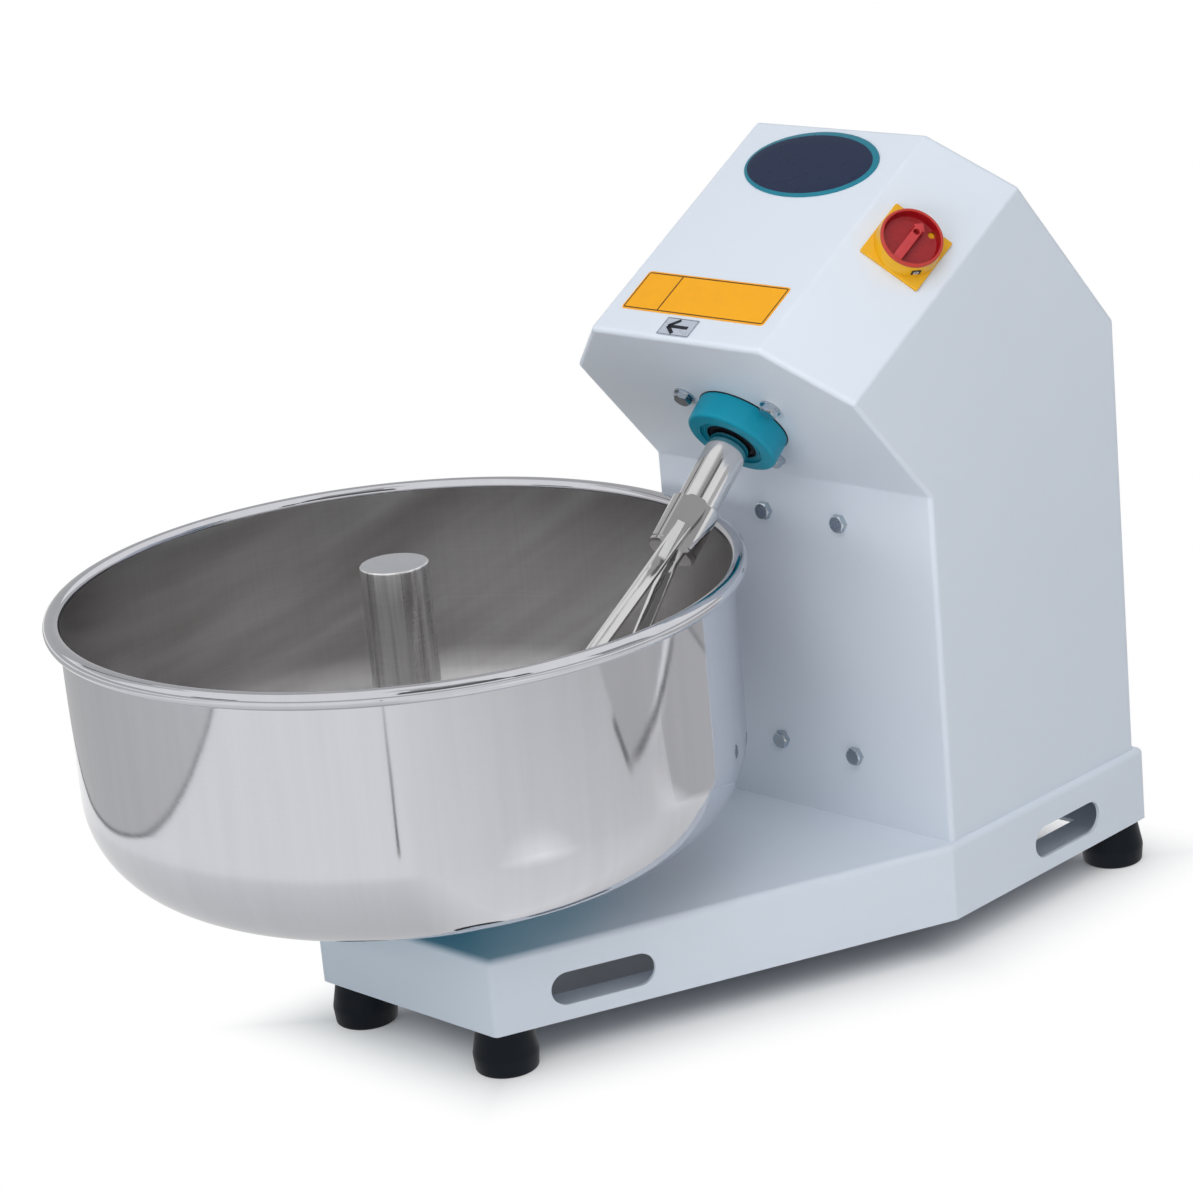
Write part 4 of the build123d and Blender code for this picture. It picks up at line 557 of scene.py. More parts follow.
    def span(
        self,
        value: Socket,
        low: float,
        high: float,
        start: float = 0.3,
        end: float = 0.7,
        curve: Curve = Curve.STRAIGHT,
    ) -> Socket:
        """Stretch a value from start..end to low..high.

        Args:
            value: the value.
            low: what start becomes.
            high: what end becomes.
            start: where the value's span starts.
            end: where it ends.
            curve: how the result runs between them.

        Returns:
            The stretched value, kept within low and high.
        """
        inputs = {"Value": value, "From Min": start, "From Max": end, "To Min": low, "To Max": high}
        return self.add("ShaderNodeMapRange", inputs, interpolation_type=curve.value).outputs["Result"]

    def tint(self, share: Socket, first: Colour, second: Colour) -> Socket:
        """Colour between two others."""
        node = self.add("ShaderNodeMix", data_type="RGBA")
        self.tree.links.new(share, node.inputs[0])
        node.inputs[6].default_value = (*first, 1)
        node.inputs[7].default_value = (*second, 1)
        return node.outputs[2]

    def bump(self, height: Socket, depth: float) -> Socket:
        """Surface normal over a height pattern."""
        inputs = {"Height": height, "Distance": depth, "Strength": 1.0}
        return self.add("ShaderNodeBump", inputs).outputs["Normal"]


def toned(colour: Colour, factor: float) -> Colour:
    """A colour made lighter or darker."""
    return tuple(min(1.0, part * factor) for part in colour)


@dataclass(frozen=True)
class Finish:
    """A surface finish, built once as a material."""

    name: str
    colour: Colour
    roughness: float

    def material(self) -> bpy.types.Material:
        """Material of this finish, made when it is first asked for."""
        found = bpy.data.materials.get(self.name)
        if found is not None:
            return found
        graph = Graph(self.name)
        self.wire(graph)
        return graph.material

    def wire(self, graph: Graph) -> None:
        """Wire the finish into a material's nodes.

        Args:
            graph: the new material.
        """
        raise NotImplementedError


@dataclass(frozen=True)
class Grain:
    """An even noise: the size of its spots and its detail."""

    size: float
    detail: float


@dataclass(frozen=True)
class Skin(Finish):
    """A finish with clouded colour, patchy gloss and a fine grain."""

    cloud: Grain = Grain(0.01, 3.0)
    tones: tuple[float, float] = (0.93, 1.06)
    patch: Grain = Grain(0.01, 3.0)
    give: tuple[float, float] = (0.05, 0.06)
    grain: Grain = Grain(0.0008, 2.0)
    depth: float = 0.00001
    metallic: float = 0.0
    gloss: float = 0.5

    def wire(self, graph: Graph) -> None:
        """Wire the clouded colour, the patches of gloss and the grain."""
        low, high = (toned(self.colour, tone) for tone in self.tones)
        down, up = self.give
        noises = {part: graph.grain(part.size, part.detail) for part in (self.cloud, self.patch, self.grain)}
        graph.surface(
            {
                "Base Color": graph.tint(noises[self.cloud], low, high),
                "Metallic": self.metallic,
                "Roughness": graph.span(noises[self.patch], self.roughness - down, self.roughness + up),
                "Normal": graph.bump(noises[self.grain], self.depth),
                "Specular IOR Level": self.gloss,
            }
        )


@dataclass(frozen=True)
class PowderCoat(Skin):
    """Satin powder coat with fine orange peel."""

    cloud: Grain = Grain(0.18, 3.0)
    tones: tuple[float, float] = (0.975, 1.02)
    patch: Grain = Grain(0.03, 4.0)
    give: tuple[float, float] = (0.05, 0.05)
    grain: Grain = Grain(0.0016, 1.0)
    depth: float = 0.00003
    gloss: float = 0.45


@dataclass(frozen=True)
class Enamel(Skin):
    """Sprayed enamel, a little uneven, with a soft gloss."""

    cloud: Grain = Grain(0.012, 4.0)
    tones: tuple[float, float] = (0.92, 1.07)
    patch: Grain = Grain(0.006, 3.0)
    give: tuple[float, float] = (0.06, 0.08)
    grain: Grain = Grain(0.0022, 2.0)
    depth: float = 0.00004
    gloss: float = 0.28


@dataclass(frozen=True)
class CastMetal(Skin):
    """Cast or blasted metal with a sandy skin and patches of tone."""

    cloud: Grain = Grain(0.02, 4.0)
    tones: tuple[float, float] = (0.8, 1.15)
    patch: Grain = Grain(0.0012, 3.0)
    give: tuple[float, float] = (0.1, 0.1)
    grain: Grain = Grain(0.0012, 3.0)
    depth: float = 0.00008
    metallic: float = 1.0


@dataclass(frozen=True)
class Moulding(Skin):
    """Moulded plastic or rubber with a fine grain."""


@dataclass(frozen=True)
class RoundSteel(Finish):
    """Steel that was turned, polished or brushed round an axis.

    deep holds painted shade at the foot: the height over which the colour rises from the foot and its share
    there.
    tall holds painted shade at the top: the heights between which the colour falls off again and its share
    at the top.
    cloud is the share of soft bands of painted light.
    """

    centre: Point = (0, 0, 0)
    turn: Point = (0, 0, 0)
    line: float = 0.0006
    line_around: float = 1.4
    line_depth: float = 0.000004
    wave: float = 0.0
    wave_across: float = 0.3
    wave_around: float = 7.0
    streaks: float = 24.0
    streak_across: float = 0.16
    streak_share: float = 0.5
    stain: float = 0.06
    uneven: float = 0.2
    cloud: float = 0.0
    light_band_across: Point = (0.475, 0.086, -0.876)
    light_band_width: float = 0.03
    light_band_drift: float = 8.0
    light_band_detail: float = 2.0
    deep: tuple[float, float] = (0.0, 1.0)
    tall: tuple[float, float, float] = (0.0, 1.0, 1.0)

    def wire(self, graph: Graph) -> None:
        """Wire lines round the axis, streaks along it and a slow wave in the sheet."""
        lines = self.ring(graph, self.line, self.line_around)
        share = graph.blend(lines, self.ring(graph, self.streak_across, self.streaks), self.streak_share)
        # Where set, soft bands of painted light are blended into the tone.
        if self.cloud:
            share = graph.blend(share, self.light_bands(graph), self.cloud)
        height = lines
        if self.wave:
            slow = self.ring(graph, self.wave_across, self.wave_around)
            height = graph.plus(lines, graph.times(slow, self.wave / self.line_depth))
        low, high = toned(self.colour, 1 - self.stain), toned(self.colour, 1 + self.stain)
        colour = graph.tint(graph.span(share, 0, 1), low, high)
        # Where set, painted shade darkens the colour towards the foot and the top.
        if self.deep[0]:
            colour = self.shaded(graph, colour)
        finest, coarsest = self.roughness * (1 - self.uneven), self.roughness * (1 + self.uneven)
        graph.surface(
            {
                "Base Color": colour,
                "Metallic": 1.0,
                "Roughness": graph.span(share, finest, coarsest),
                "Normal": graph.bump(height, self.line_depth),
            }
        )

    def ring(self, graph: Graph, across: float, around: float) -> Socket:
        """Noise round this finish's axis."""
        return graph.ring_noise(self.centre, self.turn, across, around)

    def light_bands(self, graph: Graph) -> Socket:
        """Soft bands of painted light, square to a fixed direction.

        Args:
            graph: the new material.

        Returns:
            The bands, from 0 to 1.
        """
        level = graph.vector("DOT_PRODUCT", graph.coords, self.light_band_across)
        band = graph.combined(X=graph.times(level, 1 / self.light_band_width))
        drift = graph.mapped((self.light_band_width * self.light_band_drift,) * 3)
        return graph.noise(graph.vector("ADD", band, drift), self.light_band_detail)

    def shaded(self, graph: Graph, colour: Socket) -> Socket:
        """Paint shade: darken a colour towards the foot and the top.

        Args:
            graph: the new material.
            colour: the colour to darken.

        Returns:
            The darkened colour.
        """
        level = graph.parted(graph.coords)["Z"]
        foot = self.centre[2]
        rise, dim = self.deep
        start, end, top = self.tall
        colour = graph.stretched(colour, graph.span(level, dim, 1.0, foot, foot + rise))
        return graph.stretched(colour, graph.span(level, 1.0, top, foot + start, foot + end))


@dataclass(frozen=True)
class GroundSteel(Finish):
    """Bright steel ground along one direction, a little stained."""

    turn: Point = (0, 0, 0)
    across: float = 0.0005
    along: float = 0.03
    detail: float = 3.0
    depth: float = 0.000006
    stain: Grain = Grain(0.02, 3.0)
    tones: tuple[float, float] = (0.92, 1.06)
    give: tuple[float, float] = (0.75, 1.3)

    def wire(self, graph: Graph) -> None:
        """Wire grinding lines and slight staining."""
        place = graph.mapped((self.across, self.across, self.along), turn=self.turn)
        lines = graph.noise(place, self.detail)
        low, high = (toned(self.colour, tone) for tone in self.tones)
        finest, coarsest = (self.roughness * share for share in self.give)
        graph.surface(
            {
                "Base Color": graph.tint(graph.grain(self.stain.size, self.stain.detail), low, high),
                "Metallic": 1.0,
                "Roughness": graph.span(lines, finest, coarsest),
                "Normal": graph.bump(lines, self.depth),
            }
        )


@dataclass(frozen=True)
class PlatedSteel(Finish):
    """Zinc plated steel with a faint blue cloudiness."""

    cloud: Grain = Grain(0.004, 4.0)
    warm: Colour = (1.05, 1.0, 0.92)
    cool: Colour = (0.85, 0.95, 1.06)
    patch: Grain = Grain(0.0015, 3.0)
    give: tuple[float, float] = (0.08, 0.1)
    tooth: Grain = Grain(0.0006, 2.0)
    depth: float = 0.00001

    def wire(self, graph: Graph) -> None:
        """Wire blue and warm clouded colour and a fine tooth."""
        noises = [graph.grain(part.size, part.detail) for part in (self.cloud, self.patch, self.tooth)]
        cool, warm = (
            tuple(part * share for part, share in zip(self.colour, hue)) for hue in (self.cool, self.warm)
        )
        down, up = self.give
        graph.surface(
            {
                "Base Color": graph.tint(graph.span(noises[0], 0, 1), cool, warm),
                "Metallic": 1.0,
                "Roughness": graph.span(noises[1], self.roughness - down, self.roughness + up),
                "Normal": graph.bump(noises[2], self.depth),
            }
        )


NOSE_RISE = math.radians(49.0)
NOSE_TURN = (math.pi - NOSE_RISE, 0.0, 0.0)


def bowl_axis() -> Point:
    """A point on the bowl's axis, at the height of its underside."""
    low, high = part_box("bowl")
    return ((low.x + high.x) / 2, (low.y + high.y) / 2, low.z)


COAT = PowderCoat("powder_coat_white", (0.73, 0.785, 0.86), 0.36)
TEAL = Enamel("enamel_teal", (0.001, 0.285, 0.41), 0.48)
BOWL_MIRROR = RoundSteel(
    "steel_bowl_mirror",
    (0.6, 0.603, 0.64),
    0.06,
    bowl_axis(),
    wave=0.00012,
    streak_share=0.75,
    stain=0.03,
    uneven=0.15,
)
# Inside of the bowl: its cloud share paints soft bands of light, and deep and tall paint shade towards its
# floor and its rim.
BOWL_BRUSHED = RoundSteel(
    "steel_bowl_brushed",
    (0.89, 0.85, 0.852),
    0.34,
    bowl_axis(),
    line=0.0012,
    streaks=90.0,
    stain=0.3,
    cloud=0.75,
    deep=(0.06, 0.31),
    tall=(0.1, 0.2, 0.56),
)
# Turned steel of the post: the fine lines round it are its own, and the strong stain over a few broad
# streaks paints highlights running up the post.
POST_TURNED = RoundSteel(
    "steel_post_turned",
    (0.95, 0.94, 0.94),
    0.3,
    bowl_axis(),
    line=0.0007,
    streaks=6.0,
    streak_share=0.85,
    stain=0.4,
    uneven=0.3,
)
# A darker copy of the post's steel, without streaks: painted shade on the post's top face.
POST_FACED_SHADED = RoundSteel(
    "steel_post_faced_shaded", (0.62, 0.64, 0.68), 0.36, bowl_axis(), streak_share=0.0, stain=0.08
)
FORK_GROUND = GroundSteel("steel_fork_ground", (0.65, 0.645, 0.65), 0.09, NOSE_TURN, depth=0.000003)
# Lighter, rougher copy of the fork's steel: a painted highlight on the ribs' flats.
FORK_RIB_HIGHLIGHT = GroundSteel("steel_fork_rib_highlight", (0.95, 0.95, 0.955), 0.4, NOSE_TURN)
ZINC = PlatedSteel("zinc_bright", (0.54, 0.58, 0.62), 0.2)
MACHINED = GroundSteel("steel_machined", (0.56, 0.56, 0.57), 0.28)
IRON = CastMetal("iron_primed", (0.16, 0.18, 0.20), 0.6, metallic=0.2)
ALUMINIUM = CastMetal("aluminium_blasted", (0.6, 0.61, 0.63), 0.45)
BRONZE = CastMetal("bronze_cast", (0.6, 0.38, 0.15), 0.38)
RUBBER = Moulding(
    "rubber_black", (0.004, 0.007, 0.012), 0.46, grain=Grain(0.0011, 2.0), depth=0.00003, gloss=0.16
)
YELLOW = Moulding("plastic_yellow", (0.80, 0.42, 0.012), 0.34, gloss=0.3)
# Two tones of the knob's one red moulding: the darker one paints shade on the cup, its inside and floor, and
# the lighter one paints light on the top of its rim.
RED = Moulding("plastic_red", (0.33, 0.007, 0.012), 0.3, gloss=0.4)
RED_RIM_LIT = Moulding("plastic_red_rim_lit", (0.5, 0.03, 0.018), 0.34, gloss=0.5)
RED_GRIP = Moulding("plastic_red_grip", (0.53, 0.04, 0.045), 0.36, gloss=0.4)
BLACK = Moulding("plastic_black", (0.018, 0.018, 0.02), 0.45)
NAVY = Moulding("badge_navy", (0.014, 0.024, 0.062), 0.3, gloss=0.2)
RIM_TEAL = Moulding("badge_rim_teal", (0.012, 0.20, 0.28), 0.3, gloss=0.25)
AMBER = Moulding("plate_amber", (0.96, 0.42, 0.006), 0.36, gloss=0.2)
UMBER = Moulding("plate_line_umber", (0.13, 0.045, 0.008), 0.4, gloss=0.2)
SILVER = Moulding("plate_silver", (0.48, 0.52, 0.6), 0.3)
INK = Moulding("plate_ink", (0.015, 0.018, 0.027), 0.4, gloss=0.2)

SLOT_FINISHES: dict[Slot, Finish] = {
    Slot.COAT: COAT,
    Slot.TEAL: TEAL,
    Slot.POLISHED: FORK_GROUND,
    Slot.BRUSHED: MACHINED,
    Slot.ZINC: ZINC,
    Slot.MACHINED: MACHINED,
    Slot.IRON: IRON,
    Slot.ALUMINIUM: ALUMINIUM,
    Slot.BRONZE: BRONZE,
    Slot.RUBBER: RUBBER,
    Slot.YELLOW: YELLOW,
    Slot.RED: RED,
    Slot.BLACK: BLACK,
}


def dress(piece: Piece, *finishes: Finish) -> None:
    """Give an object these finishes, one material slot each."""
    piece.data.materials.clear()
    for finish in finishes:
        piece.data.materials.append(finish.material())


def paint(piece: Piece, index: int) -> None:
    """Give the faces selected in edit mode one of the object's materials."""
    piece.active_material_index = index
    bpy.ops.object.material_slot_assign()


def seat(piece: Piece, body: Body, slot: Slot, *nodes: str) -> None:
    """Let a finished piece ride on a body, and log it.

    Args:
        piece: the finished object.
        body: the body that it moves with.
        slot: the material slot of its finish; not used.
        nodes: nodes of the frame that it stands for.
    """
    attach(piece, body.value)
    if nodes:
        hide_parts(*nodes)
    LOG.info("%s rides on %s, %d faces", piece.name, body.value, len(piece.data.polygons))


@dataclass
class Bowl:
    """Spun bowl with a rolled rim, and the post that stands in it."""

    wall_radius: float = 0.252
    corner: float = 0.073
    sheet: float = 0.002
    bead: float = 0.0065
    hole: float = 0.0082
    segments: int = 224
    flat_steps: int = 6
    corner_steps: int = 22
    wall_steps: int = 8
    bead_steps: int = 26
    post_edge: float = 0.0015
    post_edge_steps: int = 5
    post_segments: int = 96

    def build(self) -> None:
        """Model and dress the bowl and its post."""
        self.axis = Vector(bowl_axis())
        self.low, self.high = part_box("bowl")
        self.build_bowl()
        self.build_post()

    def build_bowl(self) -> None:
        """Turn the sheet from its hole, up the outside, over the bead and down the inside."""
        depth = self.high.z - self.low.z
        bead_at = (self.wall_radius - self.sheet + self.bead, depth - self.bead)
        bend = (self.wall_radius - self.corner, self.corner)
        meet = math.degrees(math.acos((self.sheet - self.bead) / self.bead))
        wall_top = bead_at[1] - self.bead * math.sin(math.radians(meet))
        inner = self.wall_radius - self.sheet
        outside = [
            (self.hole, 0.0),
            *run((self.hole, 0.0), (bend[0], 0.0), self.flat_steps),
            *arc(bend, self.corner, -90, 0, self.corner_steps),
            *run((self.wall_radius, self.corner), (self.wall_radius, wall_top), self.wall_steps),
        ]
        rim = arc(bead_at, self.bead, -meet, 180, self.bead_steps)
        inside = [
            *run((inner, bead_at[1]), (inner, self.corner), self.wall_steps),
            *arc(bend, self.corner - self.sheet, 0, -90, self.corner_steps),
            *run((bend[0], self.sheet), (self.hole, self.sheet), self.flat_steps),
            (self.hole, self.sheet),
        ]
        bowl = turned("bowl_spun", [*outside, *rim, *inside], self.segments, Close.RING)
        settle_transform(bowl, Matrix.Translation(self.axis))
        dress(bowl, BOWL_MIRROR, BOWL_BRUSHED)
        with editing(bowl):
            choose(bowl, Pick.FACE, self.is_inside)
            paint(bowl, 1)
        seat(bowl, Body.BOWL, Slot.POLISHED, "bowl")

    def is_inside(self, face: bmesh.types.BMFace) -> bool:
        """Whether a face lies under the bead and looks up or towards the axis.

        Args:
            face: a face of the bowl.

        Returns:
            True for a face of the bowl's inside.
        """
        spot = face.calc_center_median()
        away = spot - self.axis
        away.z = 0
        under_bead = spot.z < self.high.z - 2 * self.bead
        return under_bead and face.normal.z > face.normal.dot(away.normalized())

    def build_post(self) -> None:
        """Turn the post with its bore for the stud and a broken top edge."""
        low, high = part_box("centre_post")
        stud_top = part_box("bowl_spindle")[1].z
        radius = (high.x - low.x) / 2
        height = high.z - low.z
        edge = (radius - self.post_edge, height - self.post_edge)
        profile = [
            (self.hole, stud_top - low.z),
            (self.hole, 0.0),
            (radius - self.post_edge, 0.0),
            (radius, self.post_edge),
            *run((radius, self.post_edge), (radius, edge[1]), self.wall_steps),
            *arc(edge, self.post_edge, 0, 90, self.post_edge_steps),
        ]
        post = turned("post_turned", profile, self.post_segments)
        settle_transform(post, Matrix.Translation((self.axis.x, self.axis.y, low.z)))
        # The top face takes the darker copy of the steel, which paints shade on it.
        dress(post, POST_TURNED, POST_FACED_SHADED)
        with editing(post):
            choose(post, Pick.FACE, looks_up)
            paint(post, 1)
        seat(post, Body.BOWL, Slot.BRUSHED, "centre_post")


@dataclass
class Fork:
    """Arms of the fork with broken edges, and a painted highlight on each rib's flat."""

    nodes: tuple[str, ...] = ("fork_arm_upper", "fork_arm_lower")
    edge: float = 0.0006
    edge_steps: int = 1
    smooth_angle: float = 14.0
    rib: tuple[float, float] = (0.006, 0.032)
    rib_give: float = 0.01

    def build(self) -> None:
        """Work both arms up from copies of their nodes' meshes."""
        for node in self.nodes:
            arm = node_copy(node, f"{node}_ground")
            # Each rib's flat takes the lighter steel, a painted highlight.
            dress(arm, FORK_GROUND, FORK_RIB_HIGHLIGHT)
            with editing(arm):
                choose(arm, Pick.FACE, self.is_rib)
                paint(arm, 1)
            rounded(arm, self.edge, self.edge_steps)
            smooth(arm, self.smooth_angle)
            seat(arm, Body.FORK, Slot.POLISHED, node)

    def is_rib(self, face: bmesh.types.BMFace) -> bool:
        """Whether a face has the area of a rib's flat."""
        return abs(face.calc_area() / math.prod(self.rib) - 1) < self.rib_give


@dataclass
class Feet:
    """Four moulded rubber feet, modelled once and copied."""

    bolt_hole: float = 0.0041
    recess_radius: float = 0.0095
    recess_depth: float = 0.014
    recess_draft: float = 0.0006
    recess_flare: float = 0.0016
    recess_edge: float = 0.0008
    skirt: float = 0.015
    skirt_flat: tuple[float, float] = (0.003, 0.001)
    skirt_edge: tuple[float, float] = (0.0004, 0.001)
    top_radius: float = 0.021
    top_edge: tuple[float, float] = (0.0004, 0.0016)
    top_round: float = 0.0014
    top_inset: float = 0.001
    lip: float = 0.002
    taper: float = 0.001
    segments: int = 72
    nodes: tuple[str, ...] = ("foot_front_left", "foot_front_right", "foot_rear_left", "foot_rear_right")

    def build(self) -> None:
        """Model the first foot and copy it to the others."""
        low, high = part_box(self.nodes[0])
        radius = (high.x - low.x) / 2
        height = high.z - low.z
        foot_edge = radius - self.taper - self.lip
        top_at = (self.top_radius - self.top_inset, height - self.top_round)
        profile = [
            (self.bolt_hole, height),
            (self.bolt_hole, self.recess_depth),
            (self.recess_radius, self.recess_depth),
            (self.recess_radius + self.recess_draft, self.recess_edge),
            (self.recess_radius + self.recess_flare, 0.0),
            (foot_edge, 0.0),
            *arc((foot_edge, self.lip), self.lip, -90, 0, steps=6),
            (radius, self.skirt - self.skirt_flat[0]),
            (radius, self.skirt - self.skirt_flat[1]),
            (radius - self.skirt_edge[0], self.skirt + self.skirt_edge[1]),
            (self.top_radius + self.top_edge[0], height - self.top_edge[1]),
            *arc(top_at, self.top_round, 10, 90, steps=4),
        ]
        foot = turned(f"{self.nodes[0]}_rubber", profile, self.segments, Close.RING)
        middle_at = Vector(((low.x + high.x) / 2, (low.y + high.y) / 2, low.z))
        settle_transform(foot, Matrix.Translation(middle_at))
        dress(foot, RUBBER)
        pieces = {self.nodes[0]: foot}
        for node in self.nodes[1:]:
            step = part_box(node)[0] - low
            pieces[node] = copied(foot, f"{node}_rubber", step)
        for node, piece in pieces.items():
            seat(piece, Body.MACHINE, Slot.RUBBER, node)


@dataclass
class Seal:
    """Shaft seal in the boss: a painted case with two fine grooves round a rubber lip, and a dark ring of
    painted shadow round the boss's foot.
    """

    hole: float = 0.0164
    case: float = 0.0259
    lip: float = 0.0205
    lip_depth: float = 0.0018
    lip_step: float = 0.0016
    hole_edge: float = 0.0008
    groove: float = 0.0007
    groove_depth: float = 0.0011
    grooves: tuple[float, ...] = (0.0238, 0.0219)
    edge: float = 0.0004
    from_panel: float = 0.0165
    boss: float = 0.037
    # A thin dark ring at the boss's foot stands in for the shadow in the gap between boss and nose panel.
    shadow_ring_radius: float = 0.0376
    shadow_ring_thickness: float = 0.001
    shadow_ring_gap: float = 0.00005
    shadow_ring_lift: float = 0.0001
    segments: int = 112

    def build(self) -> None:
        """Turn the seal and seat it in its node's place, square to the nose panel."""
        low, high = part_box("fork_seal")
        outward = Vector((0, -math.sin(NOSE_RISE), -math.cos(NOSE_RISE)))
        half = self.half_length(high.x - low.x, high.y - low.y)
        seal = turned("fork_seal_lipped", self.profile(half), self.segments, Close.RING)
        dress(seal, TEAL, RUBBER)
        with editing(seal):
            choose(seal, Pick.FACE, self.is_lip)
            paint(seal, 1)
        middle_at = (low + high) / 2
        settle_transform(seal, seat_matrix(middle_at, RIGHT, outward))
        seat(seal, Body.MACHINE, Slot.RUBBER, "fork_seal")
        self.build_shadow_ring(seat_matrix(middle_at - outward * self.from_panel, RIGHT, outward))

    def is_lip(self, face: bmesh.types.BMFace) -> bool:
        """Whether a face of the seal belongs to its rubber lip."""
        return face.calc_center_median().xy.length < self.lip + self.edge / 2

    def build_shadow_ring(self, place: Matrix) -> None:
        """Thin dark ring round the boss where it leaves the nose panel: a painted shadow in the gap there.
        """
        inner = self.boss + self.shadow_ring_gap
        outer, top = self.shadow_ring_radius, self.shadow_ring_thickness
        profile = [
            (inner, self.shadow_ring_lift),
            (outer, self.shadow_ring_lift),
            (outer, top - self.edge),
            (outer - self.edge, top),
            (inner, top),
        ]
        shadow_ring = turned("boss_shadow_ring", profile, self.segments, Close.RING)
        settle_transform(shadow_ring, place)
        dress(shadow_ring, RUBBER)
        seat(shadow_ring, Body.MACHINE, Slot.RUBBER)

    @staticmethod
    def half_length(width: float, depth: float) -> float:
        """Half the length of a ring whose axis lies in the YZ plane, from its box's width and depth."""
        return (depth - width * math.cos(NOSE_RISE)) / math.sin(NOSE_RISE) / 2

    def profile(self, half: float) -> list[Station]:
        """Section of the seal.

        Args:
            half: half its length.

        Returns:
            Stations round the section, from the back of the bore outwards.
        """
        stations = [
            (self.hole, -half),
            (self.case, -half),
            (self.case, half - self.edge),
            (self.case - self.edge, half),
        ]
        for radius in self.grooves:
            outer, inner = radius + self.groove / 2, radius - self.groove / 2
            floor = half - self.groove_depth
            stations += [(outer, half), (outer, floor), (inner, floor), (inner, half)]
        return [
            *stations,
            (self.lip + self.edge, half),
            (self.lip, half - self.edge),
            (self.lip, half - self.lip_depth),
            (self.lip - self.lip_step, half - self.lip_depth),
            (self.hole + self.hole_edge, half - self.edge),
            (self.hole, half - self.hole_edge),
        ]


@dataclass
class Panels:
    """Planes of the folded column that carry trim, from its sheet sizes."""

    depth: float = 0.236
    front_wall: float = 0.2764
    nose: float = 0.178
    panel: float = 0.238
    panel_slope: float = math.radians(30.0)
    facet: float = 0.056
    switch_from_crown: float = 0.0926

    def __post_init__(self) -> None:
        """Work out the folds and directions from the column's place in the frame."""
        low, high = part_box("column_shell")
        self.half_width = (high.x - low.x) / 2
        fold = Vector(((low.x + high.x) / 2, high.y - self.depth, low.z + self.front_wall))
        self.up = Vector((0, math.cos(self.panel_slope), math.sin(self.panel_slope)))
        self.out = Vector((0, -math.sin(self.panel_slope), math.cos(self.panel_slope)))
        self.nose_top = fold + Vector((0, -math.cos(NOSE_RISE), math.sin(NOSE_RISE))) * self.nose
        self.crown = self.nose_top + self.up * self.panel

    def on_front_panel(self, across: float, up: float) -> Matrix:
        """Seat on the front panel, X to the right.

        Args:
            across: way right of the middle.
            up: way up the panel from the nose fold.

        Returns:
            Matrix of the seat.
        """
        return seat_matrix(self.nose_top + RIGHT * across + self.up * up, RIGHT, self.out)

    def on_facet(self) -> Matrix:
        """Seat of the switch on the right facet, X up the panel."""
        outward = (RIGHT + self.out).normalized()
        edge = self.crown + RIGHT * (self.half_width - self.facet / 2) - self.out * (self.facet / 2)
        return seat_matrix(edge - self.up * self.switch_from_crown, self.up, outward)


